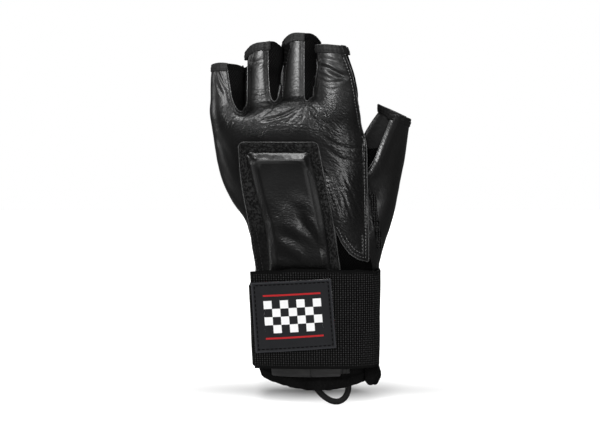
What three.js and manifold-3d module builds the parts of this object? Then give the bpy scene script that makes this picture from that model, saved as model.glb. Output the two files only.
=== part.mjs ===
// A wrist guard glove for the right hand, as it sits on a hand: fingers up (+Z), palm to -Y,
// thumb to +X. Millimetres. The origin is the middle of the wrist opening, at the cuff's hem.

import * as THREE from "three";
import { mergeVertices } from "three/addons/utils/BufferGeometryUtils.js";
import Module from "manifold-3d";

const wasm = await Module();
wasm.setup();

// Walls and gaps
const WALL = 1.8; // leather or mesh with its lining
const CUFF_WALL = 2.2;
const GAP = 0.3; // between pieces that touch
const STRAP_WALL = 2.2;
const PATCH_WALL = 1.6;
const HEM_HEIGHT = 5;
const HEM_PROUD = 0.5; // how far a hem stands out from its stall

// Heights
const CUFF_TOP = 112;
const HEM_RISE = 7; // the cuff's hem is this much higher at the sides than in the middle
const STRAP_LOW = 15.8;
const STRAP_HIGH = 79.5;
const STRAP_CROWN = 2; // the strap's top edge rises by this much in the middle
const UNDER_LAYER_HIGH = 69.6;
const BACK_LOW = 83.5;

// Points round each ring
const BODY_SIDES = 28;
const STALL_SIDES = 16;
const STRAP_STEPS = 44;
const STALL_BANDS = 5;
const BODY_BANDS = [93, 101, 112, 125, 143, 158, 170, 178];
const SHOULDER = { low: 2.2, inset: 2.2, top: 6.5 }; // the body's rounding between the stalls

// Rows with named columns, keyed by height
const table = (columns, rows) =>
  rows.map((row) => Object.fromEntries(columns.map((name, i) => [name, row[i]])));

// The hand's outer surface, without fingers and thumb
const BODY = table(["z", "left", "right", "front", "back", "power"], [
  [0, -35.0, 39.5, -21.5, 24.0, 2.5],
  [16, -39.0, 42.0, -22.0, 26.8, 2.8],
  [50, -41.0, 42.2, -22.0, 26.8, 3.0],
  [80, -41.4, 40.0, -21.5, 25.0, 3.0],
  [101, -43.2, 36.2, -20.5, 21.5, 3.0],
  [112, -46.2, 35.6, -20.0, 19.5, 2.9],
  [125, -55.0, 35.2, -19.0, 18.5, 2.8],
  [143, -63.0, 34.8, -18.0, 17.0, 2.7],
  [165, -67.0, 34.0, -18.5, 15.5, 2.6],
  [178, -68.3, 30.6, -18.0, 15.0, 2.6],
  [194, -68.8, 28.2, -16.0, 13.5, 2.6],
]);

// Soft mounds of the palm: middle, reach and height
const MOUNDS = table(["x", "z", "wide", "high", "depth"], [
  [16, 122, 17, 26, 6.5],
  [-46, 128, 15, 24, 2.5],
  [-56, 172, 10, 12, 2.5],
  [-33, 176, 11, 12, 2.5],
  [-7, 176, 12, 12, 2.5],
  [16, 178, 11, 14, 2.5],
]);

// One table for each stall: middle, half width, half depth
const STALL_COLUMNS = ["z", "x", "y", "wide", "deep"];
const STALLS = {
  pinky: {
    rows: table(STALL_COLUMNS, [
      [172, -56.5, -4.0, 11.2, 10.0],
      [188, -57.8, -5.0, 11.0, 10.0],
      [204, -57.9, -7.0, 11.0, 10.0],
      [216, -57.4, -9.0, 10.2, 9.8],
    ]),
    lean: -1,
    sag: 1.5,
    leather: [-70, -57.8],
  },
  ring: {
    rows: table(STALL_COLUMNS, [
      [176, -33.5, -1.0, 12.0, 11.0],
      [192, -33.6, -1.5, 12.0, 11.0],
      [212, -33.6, -4.0, 12.0, 11.0],
      [230, -33.5, -7.5, 11.8, 10.8],
    ]),
    lean: 1.5,
    sag: 5,
    leather: [-45.4, -30.7],
  },
  middle: {
    rows: table(STALL_COLUMNS, [
      [178, -8.2, 1.0, 12.4, 11.5],
      [194, -8.2, 1.5, 12.4, 11.5],
      [214, -8.2, 0.5, 12.4, 11.3],
      [236, -8.2, -2.5, 12.2, 11.0],
    ]),
    lean: -0.3,
    sag: 5.5,
    leather: [-20.6, -8.2],
  },
  index: {
    rows: table(STALL_COLUMNS, [
      [174, 15.0, -5.5, 13.2, 11.5],
      [194, 15.3, -9.0, 12.7, 10.9],
      [206, 14.6, -11.5, 12.4, 10.6],
      [213, 13.5, -13.2, 11.9, 10.4],
      [228, 10.8, -16.5, 10.7, 10.0],
    ]),
    lean: -0.7,
    sag: 0.5,
    leather: [-3, 34],
  },
};
const CROTCH = { pinky_ring: 184, ring_middle: 191.4, middle_index: 192.7 };
const THUMB = {
  rows: table(STALL_COLUMNS, [
    [82.5, 24.0, 2.0, 18.6, 13.5],
    [95, 27.5, 2.0, 18.2, 13.5],
    [110, 33.5, 2.5, 17.3, 13.5],
    [130, 39.5, 3.0, 16.0, 13.0],
    [147, 43.7, 2.0, 14.6, 12.6],
    [165, 48.0, -1.0, 13.0, 12.2],
    [184, 52.3, -4.0, 11.1, 11.5],
  ]),
  lean: -4.6,
  sag: 0,
};
const STALL_POWER = 2.2;

// The strap's outer outline: its sides taper a little towards the cuff
const STRAP = table(["z", "left", "right", "front", "back", "power"], [
  [STRAP_LOW, -41.9, 42.8, -31.2, 28.2, 3.4],
  [STRAP_HIGH, -44.6, 43.3, -31.2, 27.2, 3.4],
]);
const STRAP_FLAT_FROM = -30; // left of this the outer layer runs straight to its free end
const FREE_END_SLOPE = 0.1;
const [STRAP_FROM, STRAP_TO] = [-120, 238]; // degrees round the wrist

// Outlines on the palm, from the left edge to the right edge at each height
const FRAME = table(["z", "left", "right"], [
  [18, -33.0, 18.5],
  [60, -36.0, 18.0],
  [80, -39.3, 16.4],
  [113, -44.8, 11.5],
  [138.6, -49.2, 6.5],
  [158.7, -50.8, 2.2],
  [164, -48.2, -0.6],
]);
const FRAME_WALL = 1.3;
const FRAME_LIFT = 0.6; // clears the palm's flat facets
const CUSHION_LIFT = FRAME_LIFT + FRAME_WALL + 0.5;
const FRAME_HEIGHTS = [18, 40, 62, 80, 88, 96, 105, 115, 127, 139, 150, 158.7, 162, 164];
const CUSHION = table(["z", "left", "right", "height"], [
  [17, -29.5, 15.5, 2.4],
  [50, -30.0, 13.5, 2.4],
  [76, -30.2, 10.6, 2.4],
  [88, -30.8, 9.3, 5.3],
  [106, -33.0, 6.8, 6.2],
  [132, -39.5, 1.8, 6.4],
  [157.6, -45.6, -3.4, 6.4],
]);
const BEVEL = 6.5; // width of the cushion's sloping border
const TAB = table(["z", "left", "right"], [
  [10, -29.6, 22.5],
  [16.6, -30.2, 22.5],
]);

const PALM_LOWER_EDGE = [[-80, 101], [-8, 104], [11.9, 107.8], [17.3, 98], [24.1, 89.8], [36.5, 85.4]];
const THUMB_EDGE = [[54.5, 190], [51.2, 177.5], [47.5, 167], [43.9, 157.7], [40.6, 150.5], [34, 144.5]];
const GUSSET_TOP = 160;
const BACK_SEAM_RIGHT = -6;
const BACK_SEAM = [[36.5, BACK_SEAM_RIGHT], [28, -7], [12, -7], [4, 0], [-9, 4], [-34, 0], [-46, -3], [-58, -3], [-69, 0], [-90, 0]];
const THUMB_BACK_SEAM = 1;
const WINDOW = { front: -7, low: 88, high: 165 };
const LABEL = { top: [-42.4, 72.1, 9.9, 74.6], bottom: [-39.0, 25.2, 13.9, 28.8] };
const LABEL_LIFT = 0.5;
const STRIP = { from: [37.6, 130], to: [44.6, 92], wide: 3.8, wall: 1 };
const STRIP_LIFT = 0.5;
const CORNER_TAB = { from: -44, to: 4, low: 4.4, rise: 5, high: 15.4, wall: 4.6 }; // degrees and heights
const LOOP = {
  diameter: 4.2,
  depth: -13.6,
  slant: 0.09,
  route: [
    [-3.2, 8.5], [-1.8, 5], [0.4, 1.4], [3.4, -2.2], [7, -5.4], [11.2, -7.6], [15.4, -7.9],
    [19, -6], [21.1, -2.6], [21.9, 1.2], [22, 5], [21.8, 8.5],
  ],
};

// Interpolation: a smooth value of every column at height z
function at(rows, z) {
  const last = rows.length - 1;
  let i = 0;
  while (i < last - 1 && z > rows[i + 1].z) i += 1;
  const [p, q] = [rows[i], rows[i + 1]];
  const [before, after] = [rows[Math.max(i - 1, 0)], rows[Math.min(i + 2, last)]];
  const span = q.z - p.z;
  const f = Math.min(Math.max((z - p.z) / span, 0), 1);
  const section = { z };
  for (const name of Object.keys(p)) {
    if (name === "z") continue;
    const slopeIn = (q[name] - before[name]) / (q.z - before.z);
    const slopeOut = (after[name] - p[name]) / (after.z - p.z);
    const [f2, f3] = [f * f, f * f * f];
    section[name] =
      (2 * f3 - 3 * f2 + 1) * p[name] + (f3 - 2 * f2 + f) * span * slopeIn +
      (3 * f2 - 2 * f3) * q[name] + (f3 - f2) * span * slopeOut;
  }
  return section;
}

// A rounded outline's unit point at one angle
function roundedPoint(angle, power) {
  const [c, s] = [Math.cos(angle), Math.sin(angle)];
  return [Math.sign(c) * Math.abs(c) ** (2 / power), Math.sign(s) * Math.abs(s) ** (2 / power)];
}

const moundDepth = (x, z) =>
  MOUNDS.reduce((sum, m) => {
    const far = ((x - m.x) / m.wide) ** 2 + ((z - m.z) / m.high) ** 2;
    return sum + m.depth * Math.exp(-far);
  }, 0);

// A level ring round the hand, drawn in by shrink
function bodyRing(z, shrink, heightAt = () => z) {
  const s = at(BODY, z);
  const [cx, cy] = [(s.left + s.right) / 2, (s.front + s.back) / 2];
  const [a, b] = [(s.right - s.left) / 2 - shrink, (s.back - s.front) / 2 - shrink];
  return Array.from({ length: BODY_SIDES }, (_, i) => {
    const [u, v] = roundedPoint((i / BODY_SIDES) * 2 * Math.PI, s.power);
    const x = cx + a * u;
    const y = cy + b * v + (v < 0 ? v * moundDepth(x, z) : 0);
    return new THREE.Vector3(x, y, heightAt(x));
  });
}

// The front surface's y on an outline, running on straight past a share of its half width
function frontY(s, x, mound = 0, share = 0.8) {
  const [cx, cy] = [(s.left + s.right) / 2, (s.front + s.back) / 2];
  const [a, b] = [(s.right - s.left) / 2, (s.back - s.front) / 2];
  const bulge = (u) => (1 - u ** s.power) ** (1 / s.power);
  const u = Math.abs(x - cx) / a;
  const slope = (bulge(share) - bulge(share - 0.01)) / 0.01;
  const v = u < share ? bulge(u) : bulge(share) + slope * (u - share);
  return cy - v * (b + mound);
}
const palmY = (x, z) => frontY(at(BODY, z), x, moundDepth(x, z));
const strapY = (x, z) => {
  const s = at(STRAP, z);
  return x < STRAP_FLAT_FROM ? frontY(s, STRAP_FLAT_FROM) + (STRAP_FLAT_FROM - x) * FREE_END_SLOPE : frontY(s, x);
};

// A ring of a stall: share 0 is its root and 1 its rim, which leans and sags
function stallRing(stall, share, grow, rise = 0) {
  const [low, high] = [stall.rows[0].z, stall.rows[stall.rows.length - 1].z];
  const s = at(stall.rows, low + (high - low) * share);
  const slant = Math.min(share, 1) ** 2;
  return Array.from({ length: STALL_SIDES }, (_, i) => {
    const [u, v] = roundedPoint((i / STALL_SIDES) * 2 * Math.PI, STALL_POWER);
    const z = s.z + slant * (stall.lean * u - stall.sag * u ** 4) + rise;
    return new THREE.Vector3(s.x + (s.wide + grow) * u, s.y + (s.deep + grow) * v, z);
  });
}

const shares = (count, from, to) =>
  Array.from({ length: count + 1 }, (_, i) => from + ((to - from) * i) / count);

// Closed bodies from rings
function bands(rings) {
  const faces = [];
  for (let k = 0; k < rings.length - 1; k += 1) {
    const [p, q] = [rings[k], rings[k + 1]];
    for (let i = 0; i < p.length; i += 1) {
      const j = (i + 1) % p.length;
      faces.push([p[i], p[j], q[j]], [p[i], q[j], q[i]]);
    }
  }
  return faces;
}

function geometryOf(points, faces) {
  const geometry = new THREE.BufferGeometry();
  geometry.setAttribute("position", new THREE.Float32BufferAttribute(points.flatMap((p) => p.toArray()), 3));
  geometry.setIndex(faces.flat());
  return geometry;
}

// Gives every ring point its number and returns the numbers ring by ring
function numbered(rings) {
  const points = rings.flat();
  let next = 0;
  return [points, rings.map((ring) => ring.map(() => next++))];
}

// A solid plug through the rings, closed at both ends
function plug(rings) {
  const [points, ids] = numbered(rings);
  const faces = bands(ids);
  const ends = [[ids[0], rings[0], true], [ids[ids.length - 1], rings[rings.length - 1], false]];
  for (const [ring, corners, low] of ends) {
    const middle = points.length;
    points.push(corners.reduce((sum, p) => sum.add(p), new THREE.Vector3()).divideScalar(corners.length));
    for (let i = 0; i < ring.length; i += 1) {
      const j = (i + 1) % ring.length;
      faces.push(low ? [middle, ring[j], ring[i]] : [middle, ring[i], ring[j]]);
    }
  }
  return geometryOf(points, faces);
}

// A pipe wall whose section runs out, over the top, in and back: all rings in one closed loop
function pipe(outer, inner) {
  const loop = [...outer, ...[...inner].reverse()];
  const [points, ids] = numbered(loop);
  return geometryOf(points, bands([...ids, ids[0]]));
}

// A thick sheet on a surface: rows of [back, front] point pairs, closed all round
function thickSheet(rows) {
  const wide = rows[0].length;
  const points = rows.flat(2);
  const id = (k, i, side) => (k * wide + i) * 2 + side;
  const faces = [];
  const quad = (a, b, c, d) => faces.push([a, b, c], [a, c, d]);
  for (let k = 0; k < rows.length - 1; k += 1) {
    for (let i = 0; i < wide - 1; i += 1) {
      quad(id(k, i, 1), id(k, i + 1, 1), id(k + 1, i + 1, 1), id(k + 1, i, 1));
      quad(id(k, i + 1, 0), id(k, i, 0), id(k + 1, i, 0), id(k + 1, i + 1, 0));
    }
    quad(id(k, 0, 0), id(k, 0, 1), id(k + 1, 0, 1), id(k + 1, 0, 0));
    quad(id(k, wide - 1, 1), id(k, wide - 1, 0), id(k + 1, wide - 1, 0), id(k + 1, wide - 1, 1));
  }
  for (let i = 0; i < wide - 1; i += 1) {
    quad(id(0, i, 0), id(0, i + 1, 0), id(0, i + 1, 1), id(0, i, 1));
    const top = rows.length - 1;
    quad(id(top, i + 1, 0), id(top, i, 0), id(top, i, 1), id(top, i + 1, 1));
  }
  return geometryOf(points, faces);
}

// A sheet that lies in front of a surface: outline(z) gives its left and right edge
function sheetOn(surface, outline, heights, across, lift, thick) {
  return thickSheet(heights.map((z) => {
    const { left, right } = outline(z);
    return shares(across, 0, 1).map((share) => {
      const x = left + (right - left) * share;
      const back = surface(x, z) - lift;
      return [new THREE.Vector3(x, back, z), new THREE.Vector3(x, back - thick(x, z), z)];
    });
  }));
}

// Joining and cutting
function solid(geometry) {
  const bare = geometry.clone();
  bare.deleteAttribute("normal");
  bare.deleteAttribute("uv");
  const merged = mergeVertices(bare, 1e-4);
  return new wasm.Manifold(new wasm.Mesh({
    numProp: 3,
    vertProperties: new Float32Array(merged.attributes.position.array),
    triVerts: new Uint32Array(merged.index.array),
  }));
}

function geometryFrom(manifold) {
  const mesh = manifold.getMesh();
  const geometry = new THREE.BufferGeometry();
  geometry.setAttribute("position", new THREE.BufferAttribute(new Float32Array(mesh.vertProperties), 3));
  geometry.setIndex(new THREE.BufferAttribute(new Uint32Array(mesh.triVerts), 1));
  return geometry;
}

const joined = (parts) => parts.reduce((sum, part) => sum.add(part));

// A prism through the hand from front to back, over an outline of [x, z] corners
function throughPrism(corners, front, back) {
  const shape = new THREE.Shape(corners.map(([x, z]) => new THREE.Vector2(x, z)));
  const geometry = new THREE.ExtrudeGeometry(shape, { depth: back - front, bevelEnabled: false });
  return solid(geometry.rotateX(Math.PI / 2).translate(0, back, 0));
}

// A prism along the fingers, over an outline of [x, y] corners
function uprightPrism(corners, low, high) {
  const shape = new THREE.Shape(corners.map(([x, y]) => new THREE.Vector2(x, y)));
  return solid(new THREE.ExtrudeGeometry(shape, { depth: high - low, bevelEnabled: false }).translate(0, 0, low));
}

const slab = (left, right, front, back, low, high) =>
  throughPrism([[left, low], [right, low], [right, high], [left, high]], front, back);

// The hand's shell: body and stalls, hollow, with an opening where the thumb goes through
const FAR = 120;
const TOP = 300;
const stallEntries = Object.entries(STALLS);
const stallLength = (stall) => stall.rows[stall.rows.length - 1].z - stall.rows[0].z;
const rimShare = (stall) => 1 - (HEM_HEIGHT + GAP) / stallLength(stall);
const crotchHeight = (x) => 189.5 - 5.5 * Math.exp(-(((x + 49) / 14) ** 2)) + 3 * Math.exp(-(((x + 10) / 22) ** 2));

function stallPlug(stall, grow, rise = 0) {
  const rings = shares(STALL_BANDS, 0, rimShare(stall)).map((share) => stallRing(stall, share, grow));
  // The last ring keeps the wall's end square to the wall, or carries a hollow out past it
  rings.push(stallRing(stall, rimShare(stall), rise ? grow : grow - WALL - GAP, rise));
  return solid(plug(rings));
}

function bodyPlug(shrink, low, topDrop) {
  const rings = [low, ...BODY_BANDS].map((z) => bodyRing(z, shrink));
  rings.push(bodyRing(184, shrink + SHOULDER.inset, (x) => crotchHeight(x) - topDrop - SHOULDER.low));
  rings.push(bodyRing(188, shrink + SHOULDER.top, (x) => crotchHeight(x) - topDrop));
  return solid(plug(rings));
}

const handOuter = joined([bodyPlug(0, BACK_LOW, 0), ...stallEntries.map(([, stall]) => stallPlug(stall, 0))]);
const handInner = joined([
  bodyPlug(WALL, BACK_LOW - 4, WALL),
  ...stallEntries.map(([, stall]) => stallPlug(stall, -WALL, HEM_HEIGHT)),
]);
const thumbInner = stallPlug(THUMB, -WALL, HEM_HEIGHT);
const thumbWindow = thumbInner.intersect(slab(0, FAR, WINDOW.front, FAR, WINDOW.low, WINDOW.high));
const hand = handOuter.subtract(handInner).subtract(thumbWindow);

// Panels of the hand, parted by the seam up the back and by lines on the front
const frontZone = uprightPrism([...BACK_SEAM, [-90, -FAR], [36.5, -FAR]], 0, TOP);
const backZone = uprightPrism(
  [...BACK_SEAM.map(([x, y]) => [x, y + GAP]), [-90, 90], [90, 90], [90, BACK_SEAM_RIGHT + GAP]], 0, TOP,
);
const palmTop = [
  [36.5, 188], [STALLS.index.leather[0], CROTCH.middle_index], [STALLS.middle.leather[1], CROTCH.middle_index],
  [STALLS.middle.leather[0], CROTCH.ring_middle], [STALLS.ring.leather[1], CROTCH.ring_middle],
  [STALLS.ring.leather[0], CROTCH.pinky_ring], [STALLS.pinky.leather[1], CROTCH.pinky_ring], [-80, CROTCH.pinky_ring],
];
const leatherZone = joined([
  throughPrism([...PALM_LOWER_EDGE, ...palmTop], -FAR, FAR),
  ...stallEntries.map(([, stall]) => slab(...stall.leather, -FAR, FAR, CROTCH.pinky_ring - 4, TOP)),
]);
const fourchette = (left, right, crotch) =>
  hand.intersect(frontZone).intersect(slab(left.leather[1] + GAP, right.leather[0] - GAP, -FAR, FAR, crotch + GAP, TOP));

// The thumb's stall, from the palm's side outwards
const thumbShell = stallPlug(THUMB, 0).subtract(thumbInner).subtract(bodyPlug(-GAP, BACK_LOW - 4, -GAP));
const leftOfEdge = (offset, back, low, high) =>
  throughPrism([...THUMB_EDGE.map(([x, z]) => [x + offset, z]), [15, 144.5], [15, 200], [56, 200]], -FAR, back)
    .intersect(slab(-FAR, FAR, -FAR, FAR, low, high));
const thumbPanel = (back, low, high) => thumbShell.intersect(leftOfEdge(-GAP, back, low, high));

// Pieces that lie on the hand
const thumbY = (x, z) => {
  const s = at(THUMB.rows, z);
  const outline = { left: s.x - s.wide, right: s.x + s.wide, front: s.y - s.deep, back: s.y + s.deep };
  return frontY({ ...outline, power: STALL_POWER }, x);
};
const cuffY = (x, z) => {
  const s = at(BODY, z);
  const inset = WALL + GAP;
  const cuff = { left: s.left + inset, right: s.right - inset, front: s.front + inset, back: s.back - inset };
  return frontY({ ...cuff, power: s.power }, x);
};
const hemRise = (x) => HEM_RISE * ((x - 1.5) / 38) ** 2;

function wristCuff() {
  const rings = (inset) => [
    bodyRing(0, inset, hemRise),
    ...[16, 50, 80, 93, 101, CUFF_TOP].map((z) => bodyRing(z, inset)),
  ];
  const inset = WALL + GAP;
  return geometryFrom(solid(pipe(rings(inset), rings(inset + CUFF_WALL))).subtract(thumbWindow));
}

function hem(stall) {
  const low = 1 - HEM_HEIGHT / stallLength(stall);
  const rings = (grow) => [low, 1].map((share) => stallRing(stall, share, grow));
  return pipe(rings(HEM_PROUD), rings(-WALL));
}

function indexTab() {
  const s = at(STALLS.index.rows, 225);
  const grow = HEM_PROUD + GAP;
  const outline = {
    left: s.x - s.wide - grow, right: s.x + s.wide + grow, front: s.y - s.deep - grow, back: s.y + s.deep,
    power: STALL_POWER,
  };
  const edges = { left: 16.8, right: 21.6 };
  return sheetOn((x) => frontY(outline, x), () => edges, shares(2, 221.8, 226.6), 4, 0, () => 1.3);
}

function padCushion() {
  const last = CUSHION[CUSHION.length - 1].z;
  const thick = (x, z) => {
    const s = at(CUSHION, z);
    const inside = Math.min(x - s.left, s.right - x, (last - z) * 1.2);
    const slope = Math.sin((Math.min(inside / BEVEL, 1) * Math.PI) / 2);
    return 0.8 + (s.height - 0.8) * slope;
  };
  const heights = [17, 40, 62, 76, 81, 87, 95, 105, 118, 132, 145, 151, 154, 156, last];
  return sheetOn(palmY, (z) => at(CUSHION, z), heights, 10, CUSHION_LIFT, thick);
}

// The strap runs from its free end at the front left, over the palm and round the back, and
// ends under its own start
function wristStrap() {
  const sections = [];
  const section = (outline) => sections.push(outline);
  const smooth = (f) => {
    const t = Math.min(Math.max(f, 0), 1);
    return t * t * (3 - 2 * t);
  };
  const topAt = (x) => STRAP_HIGH + STRAP_CROWN * (1 - (x / 43) ** 2);
  for (const x of [-42.6, -36]) {
    const corner = (z, inset) => new THREE.Vector3(x, strapY(x, z) + inset, z);
    const top = topAt(x);
    section([corner(STRAP_LOW, 0), corner(STRAP_LOW, STRAP_WALL), corner(top, STRAP_WALL), corner(top, 0)]);
  }
  for (const degrees of shares(STRAP_STEPS, STRAP_FROM, STRAP_TO)) {
    const under = smooth((degrees - 190) / 35);
    const corner = (z, inset) => {
      const s = at(STRAP, z);
      const [u, v] = roundedPoint((degrees * Math.PI) / 180, s.power);
      const shrink = inset + under * (STRAP_WALL + GAP);
      const x = (s.left + s.right) / 2 + ((s.right - s.left) / 2 - shrink) * u;
      return new THREE.Vector3(x, (s.front + s.back) / 2 + ((s.back - s.front) / 2 - shrink) * v, z);
    };
    const drop = smooth((degrees - 110) / 70);
    const x = corner(STRAP_LOW, 0).x;
    const top = topAt(x) * (1 - drop) + UNDER_LAYER_HIGH * drop;
    section([corner(STRAP_LOW, 0), corner(STRAP_LOW, STRAP_WALL), corner(top, STRAP_WALL), corner(top, 0)]);
  }
  return plug(sections);
}

// The rounded lug wraps the cuff's lower corner on the thumb's side
function cuffTab() {
  const tab = CORNER_TAB;
  return plug(shares(8, tab.from, tab.to).map((degrees) => {
    const corner = (z, out) => {
      const s = at(BODY, z);
      const [u, v] = roundedPoint((degrees * Math.PI) / 180, s.power);
      const grow = out - WALL - GAP;
      const x = (s.left + s.right) / 2 + ((s.right - s.left) / 2 + grow) * u;
      return new THREE.Vector3(x, (s.front + s.back) / 2 + ((s.back - s.front) / 2 + grow) * v, z);
    };
    const along = (2 * (degrees - tab.from)) / (tab.to - tab.from) - 1;
    const low = tab.low + tab.rise * along ** 4;
    return [corner(low, 2 * GAP), corner(tab.high, 2 * GAP), corner(tab.high, tab.wall), corner(low, tab.wall)];
  }));
}

function labelPatch() {
  const [l1, zl1, r1, zr1] = LABEL.top;
  const [l0, zl0, r0, zr0] = LABEL.bottom;
  return thickSheet(shares(5, 0, 1).map((up) => shares(10, 0, 1).map((right) => {
    const mix = (a, b, c, d) => (a * (1 - right) + b * right) * (1 - up) + (c * (1 - right) + d * right) * up;
    const [x, z] = [mix(l0, r0, l1, r1), mix(zl0, zr0, zl1, zr1)];
    const back = strapY(x, z) - LABEL_LIFT;
    return [new THREE.Vector3(x, back, z), new THREE.Vector3(x, back - PATCH_WALL, z)];
  })));
}

function thumbStrip() {
  const [[x1, z1], [x0, z0]] = [STRIP.from, STRIP.to];
  const outline = (z) => {
    const x = x0 + ((x1 - x0) * (z - z0)) / (z1 - z0);
    return { left: x - STRIP.wide / 2, right: x + STRIP.wide / 2 };
  };
  return sheetOn(thumbY, outline, shares(8, z0, z1), 2, STRIP_LIFT, () => STRIP.wall);
}

function hangLoop() {
  const path = new THREE.CatmullRomCurve3(
    LOOP.route.map(([x, z]) => new THREE.Vector3(x, LOOP.depth + LOOP.slant * x, z)), false, "centripetal",
  );
  const section = new THREE.Shape().absarc(0, 0, LOOP.diameter / 2, 0, 2 * Math.PI);
  return new THREE.ExtrudeGeometry(section, { steps: 20, curveSegments: 4, bevelEnabled: false, extrudePath: path });
}

// The object
const leather = { color: 0x141414, roughness: 0.42, metalness: 0 };
const mesh = { color: 0x0b0b0c, roughness: 0.9, metalness: 0 };
const webbing = { color: 0x0f0f10, roughness: 0.85, metalness: 0 };
const rubber = { color: 0x232427, roughness: 0.6, metalness: 0 };

const glove = new THREE.Group();
function add(name, geometry, finish) {
  const piece = new THREE.Mesh(geometry, new THREE.MeshStandardMaterial(finish));
  piece.name = name;
  glove.add(piece);
}

add("palm_leather", geometryFrom(hand.intersect(frontZone).intersect(leatherZone)), leather);
add("back_mesh", geometryFrom(hand.intersect(backZone)), mesh);
add("fourchette_pinky_ring", geometryFrom(fourchette(STALLS.pinky, STALLS.ring, CROTCH.pinky_ring)), mesh);
add("fourchette_ring_middle", geometryFrom(fourchette(STALLS.ring, STALLS.middle, CROTCH.ring_middle)), mesh);
add("fourchette_middle_index", geometryFrom(fourchette(STALLS.middle, STALLS.index, CROTCH.middle_index)), mesh);
for (const [name, stall] of stallEntries) add(`hem_${name}`, hem(stall), leather);
add("index_tab", indexTab(), leather);
add("thumb_leather", geometryFrom(thumbShell.subtract(leftOfEdge(0, THUMB_BACK_SEAM, 0, TOP))), leather);
add("thumb_inner_leather", geometryFrom(thumbPanel(THUMB_BACK_SEAM - GAP, GUSSET_TOP + GAP, TOP)), leather);
add("thumb_gusset", geometryFrom(thumbPanel(THUMB_BACK_SEAM - 1, 0, GUSSET_TOP)), mesh);
add("hem_thumb", hem(THUMB), leather);
add("thumb_strip", thumbStrip(), webbing);
add("pad_frame", sheetOn(palmY, (z) => at(FRAME, z), FRAME_HEIGHTS, 10, FRAME_LIFT, () => FRAME_WALL), leather);
add("pad_cushion", padCushion(), leather);
add("splint_tab", sheetOn(cuffY, (z) => at(TAB, z), shares(2, TAB[0].z, TAB[1].z), 10, GAP, () => 2), rubber);
add("wrist_cuff", wristCuff(), webbing);
add("cuff_tab", cuffTab(), webbing);
add("wrist_strap", wristStrap(), webbing);
add("label_patch", labelPatch(), rubber);
add("hang_loop", hangLoop(), webbing);

export default glove;
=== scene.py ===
# The looks of a wrist guard glove for the right hand: palm to -Y, fingers up, thumb to +X.
# The tables are in millimetres, in the frame's own axes, and every mesh is made in metres.

import math

import bpy
import numpy as np
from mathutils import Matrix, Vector


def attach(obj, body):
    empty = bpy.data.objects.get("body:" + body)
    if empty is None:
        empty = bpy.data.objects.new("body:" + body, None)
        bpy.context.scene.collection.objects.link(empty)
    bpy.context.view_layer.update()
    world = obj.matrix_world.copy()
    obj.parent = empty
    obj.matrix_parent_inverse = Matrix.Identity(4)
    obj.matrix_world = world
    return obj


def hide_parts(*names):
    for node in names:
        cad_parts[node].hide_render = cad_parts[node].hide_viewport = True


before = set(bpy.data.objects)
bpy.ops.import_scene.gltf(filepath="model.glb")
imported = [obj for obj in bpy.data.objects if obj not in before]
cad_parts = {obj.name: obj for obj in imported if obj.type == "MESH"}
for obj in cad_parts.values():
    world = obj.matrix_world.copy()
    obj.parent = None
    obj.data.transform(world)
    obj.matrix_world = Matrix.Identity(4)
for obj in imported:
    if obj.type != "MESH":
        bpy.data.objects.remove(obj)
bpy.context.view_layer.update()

MM = 0.001


# Tables with named columns, keyed by height

def table(columns, rows):
    """The columns of a table by name."""
    return dict(zip(columns.split(), np.array(rows, float).T))


def at(t, z):
    """Every column at the heights z, on a smooth curve through the rows."""
    key, z = t["z"], np.asarray(z, float)
    i = np.clip(np.searchsorted(key, z) - 1, 0, len(key) - 2)
    before, after = np.maximum(i - 1, 0), np.minimum(i + 2, len(key) - 1)
    span = key[i + 1] - key[i]
    f = np.clip((z - key[i]) / span, 0, 1)
    values = {}
    for name, v in t.items():
        slope_in = (v[i + 1] - v[before]) / (key[i + 1] - key[before])
        slope_out = (v[after] - v[i]) / (key[after] - key[i])
        values[name] = (
            (2 * f**3 - 3 * f**2 + 1) * v[i] + (f**3 - 2 * f**2 + f) * span * slope_in
            + (3 * f**2 - 2 * f**3) * v[i + 1] + (f**3 - f**2) * span * slope_out
        )
    return values


def hill(value, reach):
    """1 where the value is 0, falling off smoothly on both sides over this reach."""
    return np.exp(-((value / reach) ** 2))


def smooth_step(low, high, value):
    f = np.clip((value - low) / (high - low), 0, 1)
    return f * f * (3 - 2 * f)


BODY = table("z left right front back power", [
    [0, -35.0, 39.5, -21.5, 24.0, 2.5],
    [16, -39.0, 42.0, -22.0, 26.8, 2.8],
    [50, -41.0, 42.2, -22.0, 26.8, 3.0],
    [80, -41.4, 40.0, -21.5, 25.0, 3.0],
    [101, -43.2, 36.2, -20.5, 21.5, 3.0],
    [112, -46.2, 35.6, -20.0, 19.5, 2.9],
    [125, -55.0, 35.2, -19.0, 18.5, 2.8],
    [143, -63.0, 34.8, -18.0, 17.0, 2.7],
    [165, -67.0, 34.0, -18.5, 15.5, 2.6],
    [178, -68.3, 30.6, -18.0, 15.0, 2.6],
    [194, -68.8, 28.2, -16.0, 13.5, 2.6],
])
MOUNDS = table("x z wide high depth", [
    [16, 122, 17, 26, 6.5],
    [-46, 128, 15, 24, 2.5],
    [-56, 166, 12, 18, 2.0],
    [-33, 172, 14, 16, 2.4],
    [-7, 173, 14, 16, 2.4],
    [17, 175, 11, 17, 2.2],
])
STALL_COLUMNS = "z x y wide deep"
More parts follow.
